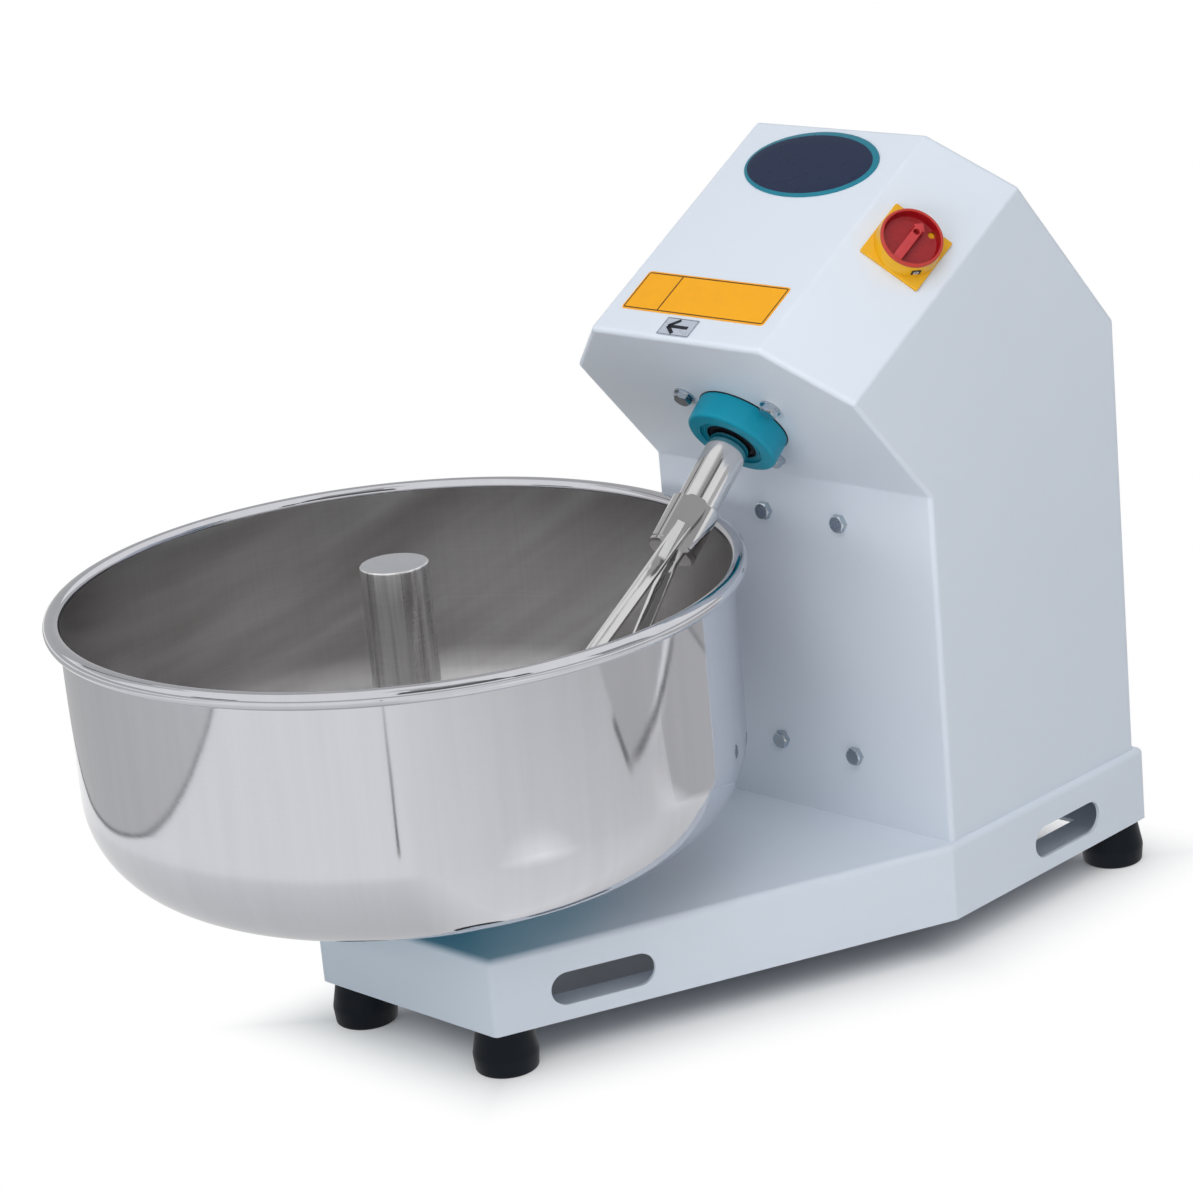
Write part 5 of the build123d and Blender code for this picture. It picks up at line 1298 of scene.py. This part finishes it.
@dataclass
class Trim:
    """Oval badge, amber plate and arrow plate on the front panel."""

    panels: Panels
    badge_size: tuple[float, float] = (0.126, 0.073)
    badge_up: float = 0.195
    badge_thickness: float = 0.0016
    badge_segments: int = 128
    badge_foot: float = 0.5
    badge_rim: tuple[Station, ...] = ((0.0006, 0.25), (0.0032, 0.2))
    badge_field: tuple[Station, ...] = ((0.0012, 0.12), (0.008, 0.06))
    badge_shift: Point = (-0.0008, -0.0009, 0)
    badge_smooth: float = 50.0
    plate_size: tuple[float, float] = (0.142, 0.0405)
    plate_corner: float = 0.0028
    plate_border: float = 0.0011
    plate_up: float = 0.0455
    plate_square: float = 0.036
    divider_gap: float = 0.0045
    divider_thickness: float = 0.00012
    arrow_size: tuple[float, float] = (0.032, 0.018)
    arrow_corner: float = 0.0012
    arrow_border: float = 0.0005
    arrow_at: tuple[float, float] = (-0.0035, 0.013)
    arrow_length: float = 0.62
    arrow_stroke: float = 0.17
    arrow_thickness: float = 0.0002
    barb_turn: float = 38.0
    barb_length: float = 0.56
    stroke_corner: float = 0.08
    print_thickness: float = 0.0006
    line: float = 0.0012

    def build(self) -> None:
        """Model and dress the three plates."""
        self.build_badge()
        self.build_amber_plate()
        self.build_arrow_plate()

    def build_badge(self) -> None:
        """Domed oval with a teal rim round a dark field."""
        width, height = self.badge_size
        add = bpy.ops.mesh.primitive_circle_add
        badge = begun("badge_oval", add, vertices=self.badge_segments, radius=width / 2, fill_type="NGON")
        dress(badge, RIM_TEAL, NAVY)
        with editing(badge):
            choose_all()
            scaled((1, height / width, 1), (0, 0, 0))
            pull((0, 0, self.badge_thickness * self.badge_foot))
            self.step_in(self.badge_rim)
            bpy.ops.transform.translate(value=self.badge_shift)
            paint(badge, 1)
            self.step_in(self.badge_field)
        settle_transform(badge, self.panels.on_front_panel(0, self.badge_up))
        smooth(badge, self.badge_smooth)
        seat(badge, Body.MACHINE, Slot.BLACK)

    def step_in(self, steps: Sequence[Station]) -> None:
        """Inset the badge's selected face by steps of a width and a share of its thickness."""
        for width, share in steps:
            bpy.ops.mesh.inset(thickness=width, depth=self.badge_thickness * share)

    @staticmethod
    def border(plate: Piece, outside: float, width: float) -> None:
        """Paint a border of the plate's second finish on its face.

        Args:
            plate: the plate.
            outside: width of the rim outside the border.
            width: width of the border.
        """
        with editing(plate):
            choose(plate, Pick.FACE, looks_up)
            bpy.ops.mesh.inset(thickness=outside)
            paint(plate, 1)
            bpy.ops.mesh.inset(thickness=width)
            paint(plate, 0)
        settle_transform(plate)

    def finish_plate(self, plate: Piece, printed: Piece, at: Station, slot: Slot) -> None:
        """Join a plate with what is printed on it, and seat it on the front panel.

        Args:
            plate: the plate, at the origin.
            printed: what lies on its face.
            at: its place across and up the panel.
            slot: its material slot.
        """
        joined([plate, printed])
        settle_transform(plate, self.panels.on_front_panel(*at))
        smooth(plate)
        seat(plate, Body.MACHINE, slot)

    def build_amber_plate(self) -> None:
        """Long amber plate with a thin dark border and a divider."""
        width, height = self.plate_size
        plate = flat_plate("amber_plate", width, height, self.plate_corner, self.print_thickness)
        dress(plate, AMBER, UMBER)
        self.border(plate, self.plate_border, self.line)
        long = height - self.divider_gap
        divider = flat_plate("amber_divider", self.line, long, self.line / 4, self.divider_thickness)
        dress(divider, UMBER)
        left = self.plate_square - width / 2
        settle_transform(divider, Matrix.Translation((left, 0, self.print_thickness)))
        self.finish_plate(plate, divider, (0, self.plate_up), Slot.YELLOW)

    def build_arrow_plate(self) -> None:
        """Small silver plate with a plain arrow to the left."""
        width, height = self.arrow_size
        plate = flat_plate("arrow_plate", width, height, self.arrow_corner, self.print_thickness)
        dress(plate, SILVER, INK)
        self.border(plate, self.arrow_border, self.arrow_border)
        arrow = self.build_arrow(width * self.arrow_length, height * self.arrow_stroke)
        settle_transform(arrow, Matrix.Translation((0, 0, self.print_thickness)))
        self.finish_plate(plate, arrow, self.arrow_at, Slot.ALUMINIUM)

    def build_arrow(self, length: float, thick: float) -> Piece:
        """Model a flat arrow that points to -X: a bar, and two barbs swept back from its point.

        Args:
            length: length of the arrow.
            thick: thickness of its strokes.

        Returns:
            The new object.
        """
        strokes = []
        barb = self.barb_length
        for turn, share in ((0.0, 1.0), (self.barb_turn, barb), (-self.barb_turn, barb)):
            corner = thick * self.stroke_corner
            stroke = flat_plate("arrow_stroke", length * share, thick, corner, self.arrow_thickness)
            settle_transform(stroke, Matrix.Translation((length * share / 2, 0, 0)))
            spin = Matrix.Rotation(math.radians(turn), 4, "Z")
            settle_transform(stroke, Matrix.Translation((-length / 2, 0, 0)) @ spin)
            dress(stroke, INK)
            strokes.append(stroke)
        arrow = joined(strokes)
        arrow.name = "arrow"
        return arrow


@dataclass
class Switch:
    """Rotary main switch: square plate, collar and knob with a pointer grip."""

    panels: Panels
    plate: float = 0.0516
    plate_thickness: float = 0.003
    plate_corner: float = 0.0014
    plate_edge: float = 0.0006
    plate_edge_steps: int = 3
    plate_smooth: float = 40.0
    segments: int = 112
    collar_radius: float = 0.0252
    collar_top_radius: float = 0.024
    collar_height: float = 0.0115
    collar_floor: float = 0.005
    collar_wall: float = 0.0015
    collar_hole: float = 0.0075
    collar_foot: float = 0.001
    collar_edge: float = 0.0005
    well_edge: float = 0.0003
    knob_gap: float = 0.0003
    knob_radius: float = 0.0241
    knob_height: float = 0.0095
    cup_radius: float = 0.0222
    knob_wall: float = 0.0023
    knob_floor: float = 0.0015
    knob_edge: float = 0.0012
    knob_smooth: float = 38.0
    rim_edge: float = 0.0004
    lip_round: float = 0.0006
    cup_edge: float = 0.0008
    cup_round: float = 0.0022
    cup_inset: float = 0.0028
    grip_tail: float = 0.007
    grip_head: float = 0.010
    grip_shoulder: float = 0.010
    grip_tip: float = 0.0156
    grip_step: float = 0.0004
    grip_point: float = 0.16
    grip_low: float = 0.001
    grip_drop: float = 0.0008
    grip_edge: float = 0.0006
    grip_edge_steps: int = 2
    grip_hole: float = 0.0026
    grip_hole_at: float = 0.0063
    grip_hole_depth: float = 0.005
    drill_past: float = 0.002
    drill_segments: int = 32
    lock_hole: float = 0.0028
    lock_at: float = 0.0186
    lock_angle: float = math.radians(-32.0)
    mark_size: tuple[float, float] = (0.0072, 0.0058)
    mark_thickness: float = 0.0005
    mark_corner: float = 0.0005
    ring_thickness: float = 0.0002
    ring_segments: int = 32
    mark_angle: float = math.radians(-135.0)
    mark_up: float = 0.0054
    mark_ring: tuple[float, float] = (0.0011, 0.0021)

    def build(self) -> None:
        """Model and dress the three mouldings and the position mark."""
        self.place = self.panels.on_facet()
        self.collar_top = self.plate_thickness + self.collar_height
        self.knob_low = self.plate_thickness + self.collar_floor + self.knob_gap
        self.knob_top = self.knob_low + self.knob_height
        self.build_plate()
        self.build_collar()
        self.build_knob()
        self.build_mark()

    def build_plate(self) -> None:
        """Square plate with rounded rims."""
        size, corner = self.plate, self.plate_corner
        plate = flat_plate("switch_plate_moulded", size, size, corner, self.plate_thickness)
        settle_transform(plate, self.place)
        rounded(plate, self.plate_edge, self.plate_edge_steps)
        smooth(plate, self.plate_smooth)
        dress(plate, YELLOW)
        seat(plate, Body.MACHINE, Slot.YELLOW, "switch_plate")

    def build_collar(self) -> None:
        """Tall tapered collar with a well for the knob."""
        base = self.plate_thickness
        top = self.collar_top
        floor = base + self.collar_floor
        well = self.collar_top_radius - self.collar_wall
        edge = self.collar_edge
        profile = [
            (self.collar_hole, base),
            (self.collar_radius, base),
            (self.collar_radius, base + self.collar_foot),
            (self.collar_top_radius, top - edge),
            *arc((self.collar_top_radius - edge, top - edge), edge, 0, 90, steps=4),
            (well + self.well_edge, top),
            (well, top - self.well_edge),
            (well, floor),
            (self.collar_hole, floor),
        ]
        collar = turned("switch_collar_moulded", profile, self.segments, Close.RING)
        settle_transform(collar, self.place)
        dress(collar, YELLOW)
        seat(collar, Body.MACHINE, Slot.YELLOW, "switch_collar")

    def build_knob(self) -> None:
        """Cup with a proud rim, a pointer grip across it, and holes for a pin and a lock."""
        inner = self.knob_radius - self.knob_wall
        edge, lip = self.knob_edge, self.lip_round
        floor = self.knob_low + self.knob_floor
        rim_low = self.collar_top + self.knob_gap
        profile = [
            (self.cup_radius - self.cup_edge, self.knob_low),
            (self.cup_radius, self.knob_low + self.cup_edge),
            (self.cup_radius, rim_low),
            (self.knob_radius - self.rim_edge, rim_low),
            (self.knob_radius, rim_low + self.rim_edge),
            *arc((self.knob_radius - edge, self.knob_top - edge), edge, 0, 90, steps=6),
            *arc((inner + lip, self.knob_top - lip), lip, 90, 180, steps=3),
            *arc((inner - self.cup_inset, floor + self.cup_round), self.cup_round, 0, -90, steps=6),
        ]
        cup = turned("switch_knob_moulded", profile, self.segments)
        ends = (self.knob_low - self.drill_past, floor + self.drill_past)
        self.drill(cup, self.lock_hole, self.lock_at, self.lock_angle, ends)
        grip = self.build_grip(floor - self.grip_low)
        # The cup takes the darker red, painted shade, and the faces of the rim's top take the lighter red,
        # painted light.
        dress(cup, RED, RED_RIM_LIT)
        with editing(cup):
            choose(cup, Pick.FACE, lambda face: face.calc_center_median().z > self.knob_top - 2 * edge)
            paint(cup, 1)
        dress(grip, RED_GRIP)
        knob = joined([cup, grip])
        settle_transform(knob, self.place)
        smooth(knob, self.knob_smooth)
        seat(knob, Body.KNOB, Slot.RED, "switch_knob")

    def build_grip(self, low: float) -> Piece:
        """Pointer grip: a bar widened to an arrow head, with rounded edges and a pin hole.

        Args:
            low: height of its foot.

        Returns:
            The new object.
        """
        tail = (self.cup_radius + self.knob_radius - self.knob_wall) / 2
        high = self.knob_top - self.grip_drop
        grip = begun("switch_grip", bpy.ops.mesh.primitive_plane_add, size=1, location=(0, 0, low))
        settle_transform(grip)
        length = self.grip_shoulder + tail
        with editing(grip, Pick.EDGE):
            choose_all(Pick.EDGE)
            scaled((length, self.grip_tail, 1), (0, 0, low))
            bpy.ops.transform.translate(value=(self.grip_shoulder - length / 2, 0, 0))
            choose(grip, Pick.EDGE, lambda edge: middle(edge).x > self.grip_shoulder - self.grip_step)
            pull((0, 0, 0))
            scaled((1, self.grip_head / self.grip_tail, 1), (0, 0, low))
            bpy.ops.transform.translate(value=(self.grip_step, 0, 0))
            pull((self.grip_tip - self.grip_shoulder - self.grip_step, 0, 0))
            scaled((1, self.grip_point, 1), (0, 0, low))
            choose_all()
            pull((0, 0, high - low))
        rounded(grip, self.grip_edge, self.grip_edge_steps)
        ends = (high - self.grip_hole_depth, high + self.drill_past)
        self.drill(grip, self.grip_hole, self.grip_hole_at, 0.0, ends)
        return grip

    def drill(self, piece: Piece, radius: float, away: float, angle: float, ends: Station) -> None:
        """Drill a hole along Z.

        Args:
            piece: the object to drill.
            radius: the hole's radius.
            away: its distance from the Z axis.
            angle: its angle about the Z axis.
            ends: its lower and upper end.
        """
        tool = turned("drill", [(radius, end) for end in ends], self.drill_segments)
        settle_transform(tool, Matrix.Translation((away * math.cos(angle), away * math.sin(angle), 0)))
        cut(piece, tool)

    def build_mark(self) -> None:
        """Small dark label with a plain ring, the off mark, on the side of the collar."""
        width, height = self.mark_size
        thick = self.mark_thickness
        mark = flat_plate("switch_off_mark", width, height, self.mark_corner, thick)
        dress(mark, INK, SILVER)
        settle_transform(mark)
        inner, outer = self.mark_ring
        top = thick + self.ring_thickness
        profile = [(inner, thick), (outer, thick), (outer, top), (inner, top)]
        ring = turned("off_ring", profile, self.ring_segments, Close.RING)
        dress(ring, SILVER)
        joined([mark, ring])
        away = Vector((math.cos(self.mark_angle), math.sin(self.mark_angle), 0))
        along = Vector((0, 0, 1)).cross(away)
        share = self.mark_up / self.collar_height
        radius = self.collar_radius + (self.collar_top_radius - self.collar_radius) * share
        spot = away * (radius - thick / 2) + Vector((0, 0, self.plate_thickness + self.mark_up))
        settle_transform(mark, self.place @ seat_matrix(spot, along, away))
        smooth(mark)
        seat(mark, Body.MACHINE, Slot.BLACK)


class Carried:
    """Nodes of the frame whose shape is right as it is, dressed by their slot."""

    @staticmethod
    def dress_all() -> None:
        """Give every node that still shows its own finish."""
        slots = {part["node"]: Slot(part["material_slot"]) for part in frame["record"]["subparts"]}
        for name, node in sorted(frame["nodes"].items()):
            if not node.hide_render:
                dress(node, SLOT_FINISHES[slots[name]])
                LOG.info("%s keeps its shape", name)


@dataclass(frozen=True)
class Lamp:
    """A soft lamp: its angles round the mixer and above the floor, distance, face and power."""

    name: str
    azimuth: float
    elevation: float
    distance: float
    size: tuple[float, float]
    power: float


@dataclass(frozen=True)
class Patch:
    """A part of the sky that only polished metal sees: its span of angles round and up, and its tone."""

    name: str
    around: tuple[float, float]
    up: tuple[float, float]
    tone: float


@dataclass(frozen=True)
class Mat:
    """A card on the floor that only polished metal sees.

    Its middle lies at an angle and a distance from the bowl's axis, and its length runs along a bearing. Its
    tone changes by a slope over its width and length, or from a disc's middle out, and its border fades.
    """

    name: str
    azimuth: float
    away: float
    bearing: float
    size: tuple[float, float]
    tone: float
    layer: int = 0
    slope: tuple[float, float] = (0.0, 0.0)
    fade: float = 0.01
    disc: bool = False


@dataclass
class Studio:
    """Camera, pale floor, soft lamps and cards round the mixer."""

    azimuth: float = 45.48
    elevation: float = 17.65
    roll: float = -5.38
    distance: float = 2.8745
    aim: Point = (-0.0463, 0.1035, 0.2596)
    focal_pixels: float = 3574.5
    image_pixels: float = 1193.0
    sensor: float = 36.0
    far: float = 100.0
    floor_size: float = 30.0
    floor_level: float = -0.0002
    floor_roughness: float = 0.8
    floor_gloss: float = 0.1
    floor_colour: Colour = (0.9, 0.9, 0.9)
    floor_corners: tuple[Station, ...] = (
        (-0.074, -0.204),
        (0.119, -0.204),
        (0.271, 0.147),
        (0.271, 0.396),
        (-0.019, 0.396),
    )
    floor_painted_shade: Colour = (0.4, 0.42, 0.45)
    floor_shade: tuple[float, float] = (-0.07, -0.01)
    floor_fade: tuple[float, float] = (-0.05, 0.07)
    sky_fill: float = 0.47
    sky_tint: Colour = (0.92, 0.955, 1.0)
    lamps: tuple[Lamp, ...] = (
        Lamp("lamp_key", 45.0, 50.0, 2.4, (2.0, 2.0), 24.5),
        Lamp("lamp_low_front", 8.0, 9.0, 2.6, (2.4, 0.9), 22.5),
        Lamp("lamp_back", 232.0, 14.0, 2.6, (2.4, 1.6), 16.0),
    )
    screen_azimuth: float = 8.0
    screen_away: float = 1.0
    screen_size: tuple[float, float] = (3.0, 0.46)
    under_radius: float = 0.17
    under_segments: int = 96
    under_ahead: float = 0.05
    under_gap: float = 0.002
    under_colour: Colour = (0.0, 0.1, 0.15)
    dome_centre: Point = (0.06, -0.04, 0.36)
    dome_radius: float = 8.0
    dome_step: float = 4.0
    patches: tuple[Patch, ...] = (
        Patch("sky_horizon", (-180.0, 180.0), (-5.0, 13.0), 0.56),
        Patch("sky_dark_right", (44.0, 81.5), (24.0, 47.5), 0.15),
        Patch("sky_grey_right", (48.0, 78.5), (47.5, 62.5), 0.42),
        Patch("sky_grey_high", (34.0, 62.0), (62.5, 80.0), 0.68),
        Patch("sky_rim_right", (81.5, 88.0), (18.0, 33.0), 0.12),
        Patch("sky_far_right", (112.0, 133.0), (14.0, 36.0), 0.38),
        Patch("sky_rim_left", (-22.0, -6.0), (13.0, 19.0), 0.12),
        Patch("sky_left", (-150.0, -88.0), (13.0, 66.0), 0.54),
        Patch("sky_line_left", (-88.0, -82.0), (26.0, 46.0), 0.14),
        Patch("sky_dim_left", (-82.0, -58.0), (20.0, 52.0), 0.64),
    )
    mat_lift: float = 0.0004
    mat_layer: float = 0.0003
    mats: tuple[Mat, ...] = (
        Mat("mat_near", 0.0, 0.0, 0.0, (1.5, 1.5), 0.62, slope=(0.6, 0.0), fade=0.1, disc=True),
        Mat("mat_left_edge", -66.0, 1.3, 24.0, (1.2, 2.6), 0.14, 1),
        Mat("mat_left", -66.0, 1.313, 24.0, (1.2, 2.6), 0.6, 2, (0.0, 0.3)),
        Mat("mat_line", 41.0, 1.06, 40.0, (0.013, 0.52), 0.42, 2, (0.0, 0.7), 0.1),
        Mat("mat_right", 76.0, 1.25, 41.0, (1.4, 2.0), 0.79, 1, (0.36, 0.0), 0.06),
        Mat("mat_far_right", 124.3, 1.346, 0.0, (0.6, 0.75), 0.58, 2),
        Mat("mat_corner_right", 130.7, 1.024, 7.9, (0.035, 0.62), 0.2, 3, fade=0.15),
        Mat("mat_corner_left", 112.7, 0.961, 90.0, (0.03, 0.19), 0.2, 3, fade=0.15),
        Mat("mat_glint", 80.0, 0.68, 80.0, (0.3, 0.36), 1.2, 3, fade=0.5, disc=True),
        Mat("mat_back_right", 147.6, 0.992, 0.0, (0.5, 0.8), 0.58, 1, fade=0.1),
        Mat("mat_back_edge", 190.0, 1.48, 100.0, (1.2, 2.4), 0.15, 1),
        Mat("mat_back", 190.0, 1.5, 100.0, (1.2, 2.4), 0.5, 2),
    )

    def build(self) -> None:
        """Set the stage and the view."""
        bpy.context.scene.view_settings.view_transform = "Standard"
        self.build_camera()
        self.build_world()
        self.build_floor()
        for lamp in self.lamps:
            self.build_lamp(lamp)
        self.build_screen()
        self.build_under()
        for patch in self.patches:
            self.build_patch(patch)
        for mat in self.mats:
            self.build_mat(mat)

    @staticmethod
    def direction(azimuth: float, elevation: float) -> Vector:
        """Way from the object to a place seen at these angles in degrees."""
        turn, rise = math.radians(azimuth), math.radians(elevation)
        flat = math.cos(rise)
        return Vector((math.sin(turn) * flat, -math.cos(turn) * flat, math.sin(rise)))

    def build_camera(self) -> None:
        """Camera at the photograph's angle, rolled a little."""
        back = self.direction(self.azimuth, self.elevation)
        right = Vector((0, 0, 1)).cross(back).normalized()
        up = back.cross(right)
        tilt = math.radians(self.roll)
        rolled_right = right * math.cos(tilt) + up * math.sin(tilt)
        rolled_up = back.cross(rolled_right)
        turn = Matrix((rolled_right, rolled_up, back)).transposed().to_4x4()
        lens = bpy.data.cameras.new("camera")
        lens.sensor_fit = "HORIZONTAL"
        lens.sensor_width = self.sensor
        lens.lens = self.focal_pixels * self.sensor / self.image_pixels
        lens.clip_end = self.far
        camera = bpy.data.objects.new("camera", lens)
        camera.matrix_world = Matrix.Translation(Vector(self.aim) + back * self.distance) @ turn
        bpy.context.scene.collection.objects.link(camera)
        bpy.context.scene.camera = camera

    @staticmethod
    def seen_share(tree: bpy.types.NodeTree) -> Socket:
        """1 for rays from the camera, a reflection or a refraction, and 0 for diffuse light."""
        path = tree.nodes.new("ShaderNodeLightPath").outputs
        total = path["Is Camera Ray"]
        for name in ("Is Glossy Ray", "Is Transmission Ray"):
            add = tree.nodes.new("ShaderNodeMath")
            add.operation = "ADD"
            add.use_clamp = True
            tree.links.new(total, add.inputs[0])
            tree.links.new(path[name], add.inputs[1])
            total = add.outputs[0]
        return total

    def build_world(self) -> None:
        """White surroundings where they are seen, softer where they only light."""
        world = bpy.data.worlds.new("studio")
        world.use_nodes = True
        tree = world.node_tree
        tree.nodes.clear()
        fill = tree.nodes.new("ShaderNodeBackground")
        fill.inputs["Color"].default_value = (*self.sky_tint, 1)
        fill.inputs["Strength"].default_value = self.sky_fill
        seen = tree.nodes.new("ShaderNodeBackground")
        seen.inputs["Color"].default_value = WHITE
        mix = tree.nodes.new("ShaderNodeMixShader")
        out = tree.nodes.new("ShaderNodeOutputWorld")
        tree.links.new(self.seen_share(tree), mix.inputs[0])
        tree.links.new(fill.outputs[0], mix.inputs[1])
        tree.links.new(seen.outputs[0], mix.inputs[2])
        tree.links.new(mix.outputs[0], out.inputs["Surface"])
        bpy.context.scene.world = world

    def build_floor(self) -> None:
        """Pale floor that keeps the shadow, with painted shade under the base's outline, and turns white
        away from the mixer.
        """
        add = bpy.ops.mesh.primitive_plane_add
        floor = begun("floor", add, size=self.floor_size, location=(0, 0, self.floor_level))
        graph = Graph("floor_pale")
        away = self.past_outline(graph)
        # Painted shade: the floor's colour darkens to a grey under the base's outline.
        shade = graph.span(away, 0.0, 1.0, *self.floor_shade)
        graph.surface(
            {
                "Base Color": graph.tint(shade, self.floor_painted_shade, self.floor_colour),
                "Roughness": self.floor_roughness,
                "Specular IOR Level": self.floor_gloss,
            }
        )
        fade = graph.span(away, 0.0, 1.0, *self.floor_fade, Curve.SOFT)
        share = graph.number("MULTIPLY", fade, self.seen_share(graph.tree))
        white = graph.add("ShaderNodeEmission", {"Color": WHITE, "Strength": 1.0})
        graph.show(graph.mixed(share, graph.shader, white))
        floor.data.materials.append(graph.material)

    def past_outline(self, graph: Graph) -> Socket:
        """How far a place on the floor lies outside the base's outline, negative under it.

        Args:
            graph: the floor's material.

        Returns:
            The distance.
        """
        away = None
        for start, end in zip(self.floor_corners, self.floor_corners[1:] + self.floor_corners[:1]):
            side = Vector((end[1] - start[1], start[0] - end[0], 0)).normalized()
            offset = -side.dot(Vector((*start, 0)))
            past = graph.number("ADD", graph.vector("DOT_PRODUCT", graph.coords, side), offset)
            away = past if away is None else graph.number("MAXIMUM", away, past)
        return away

    def aimed(self, azimuth: float, elevation: float, distance: float) -> Matrix:
        """Place at an angle and distance whose -Z looks at the mixer."""
        back = self.direction(azimuth, elevation)
        turn = back.to_track_quat("Z", "Y").to_matrix().to_4x4()
        return Matrix.Translation(Vector(self.aim) + back * distance) @ turn

    def laid(self, mat: Mat) -> Matrix:
        """Place of a card on the floor, just above it and above the cards of lower layers."""
        turn, bearing = math.radians(mat.azimuth), math.radians(mat.bearing)
        axis = Vector(bowl_axis())
        lift = self.mat_lift + self.mat_layer * mat.layer
        spot = Vector((axis.x + math.sin(turn) * mat.away, axis.y - math.cos(turn) * mat.away, lift))
        return Matrix.Translation(spot) @ Matrix.Rotation(bearing - math.pi, 4, "Z")

    def build_lamp(self, lamp: Lamp) -> None:
        """Add a soft lamp that looks at the mixer."""
        light = bpy.data.lights.new(lamp.name, "AREA")
        light.shape = "RECTANGLE"
        light.size, light.size_y = lamp.size
        light.energy = lamp.power
        shade = bpy.data.objects.new(lamp.name, light)
        shade.matrix_world = self.aimed(lamp.azimuth, lamp.elevation, lamp.distance)
        shade.visible_glossy = False
        bpy.context.scene.collection.objects.link(shade)

    def build_screen(self) -> None:
        """Stand a low screen in front, unseen itself, that keeps the low lamp off the base."""
        width, height = self.screen_size
        screen = begun("screen_low", bpy.ops.mesh.primitive_plane_add, size=1)
        turn = Matrix.Rotation(math.radians(self.screen_azimuth), 4, "Z")
        stood = turn @ Matrix.Rotation(math.pi / 2, 4, "X")
        spot = Vector(bowl_axis()) + self.direction(self.screen_azimuth, 0.0) * self.screen_away
        spot.z = height / 2
        screen.matrix_world = Matrix.Translation(spot) @ stood @ Matrix.Diagonal((width, height, 1, 1))
        self.stage_card(screen, Ray.CAMERA, Ray.DIFFUSE, Ray.GLOSSY, Ray.TRANSMISSION)

    def build_under(self) -> None:
        """Hang a dark teal card under the bowl, unseen itself, that colours the shade on the base."""
        x, y, z = bowl_axis()
        card = begun(
            "card_under_bowl",
            bpy.ops.mesh.primitive_circle_add,
            vertices=self.under_segments,
            radius=self.under_radius,
            fill_type="NGON",
            location=(x, y - self.under_ahead, z - self.under_gap),
        )
        graph = Graph("card_under_tone")
        graph.show(graph.add("ShaderNodeEmission", {"Color": (*self.under_colour, 1)}))
        card.data.materials.append(graph.material)
        self.stage_card(card, Ray.CAMERA, Ray.GLOSSY, Ray.TRANSMISSION)

    def build_patch(self, patch: Patch) -> None:
        """Add a part of the sky dome: a grid bent to its span of angles."""
        steps = [int((span[1] - span[0]) / self.dome_step) + 2 for span in (patch.around, patch.up)]
        add = bpy.ops.mesh.primitive_grid_add
        card = begun(patch.name, add, x_subdivisions=steps[0], y_subdivisions=steps[1], size=1)
        for vert in card.data.vertices:
            azimuth = patch.around[0] + (patch.around[1] - patch.around[0]) * (vert.co.x + 0.5)
            elevation = patch.up[0] + (patch.up[1] - patch.up[0]) * (vert.co.y + 0.5)
            vert.co = Vector(self.dome_centre) + self.direction(azimuth, elevation) * self.dome_radius
        graph = Graph(f"{patch.name}_tone")
        graph.show(graph.add("ShaderNodeEmission", {"Strength": patch.tone}))
        self.only_reflected(card, graph)

    def build_mat(self, mat: Mat) -> None:
        """Lay a card on the floor, with its sloped tone and soft border."""
        card = begun(mat.name, bpy.ops.mesh.primitive_plane_add, size=1)
        card.matrix_world = self.laid(mat) @ Matrix.Diagonal((*mat.size, 1, 1))
        graph = Graph(f"{mat.name}_tone")
        if mat.disc:
            away = graph.vector("LENGTH", graph.coords)
            slope = graph.times(away, mat.slope[0])
        else:
            place = graph.parted(graph.coords)
            across, along = place["X"], place["Y"]
            sides = [graph.number("ABSOLUTE", side) for side in (across, along)]
            away = graph.number("MAXIMUM", *sides)
            slope = graph.plus(graph.times(across, mat.slope[0]), graph.times(along, mat.slope[1]))
        light = graph.add("ShaderNodeEmission", {"Strength": graph.number("ADD", slope, mat.tone)})
        clear = graph.add("ShaderNodeBsdfTransparent")
        share = graph.span(away, 1.0, 0.0, 0.5 - mat.fade, 0.5)
        graph.show(graph.mixed(share, clear, light))
        self.only_reflected(card, graph)

    def only_reflected(self, card: Piece, graph: Graph) -> None:
        """Give a card its material and let nothing but reflections see it."""
        card.data.materials.append(graph.material)
        self.stage_card(card, Ray.CAMERA, Ray.DIFFUSE, Ray.SHADOW)

    @staticmethod
    def stage_card(card: Piece, *unseen_by: Ray) -> None:
        """Hide a card from some kinds of rays."""
        for ray in unseen_by:
            setattr(card, ray.value, False)


def main() -> None:
    """Build every sub-assembly in order, then the studio."""
    logging.basicConfig(level=logging.INFO, format="%(message)s")
    panels = Panels()
    Bowl().build()
    Fork().build()
    Feet().build()
    Seal().build()
    Switch(panels).build()
    Trim(panels).build()
    Carried().dress_all()
    Studio().build()


if __name__ == "__main__":
    main()
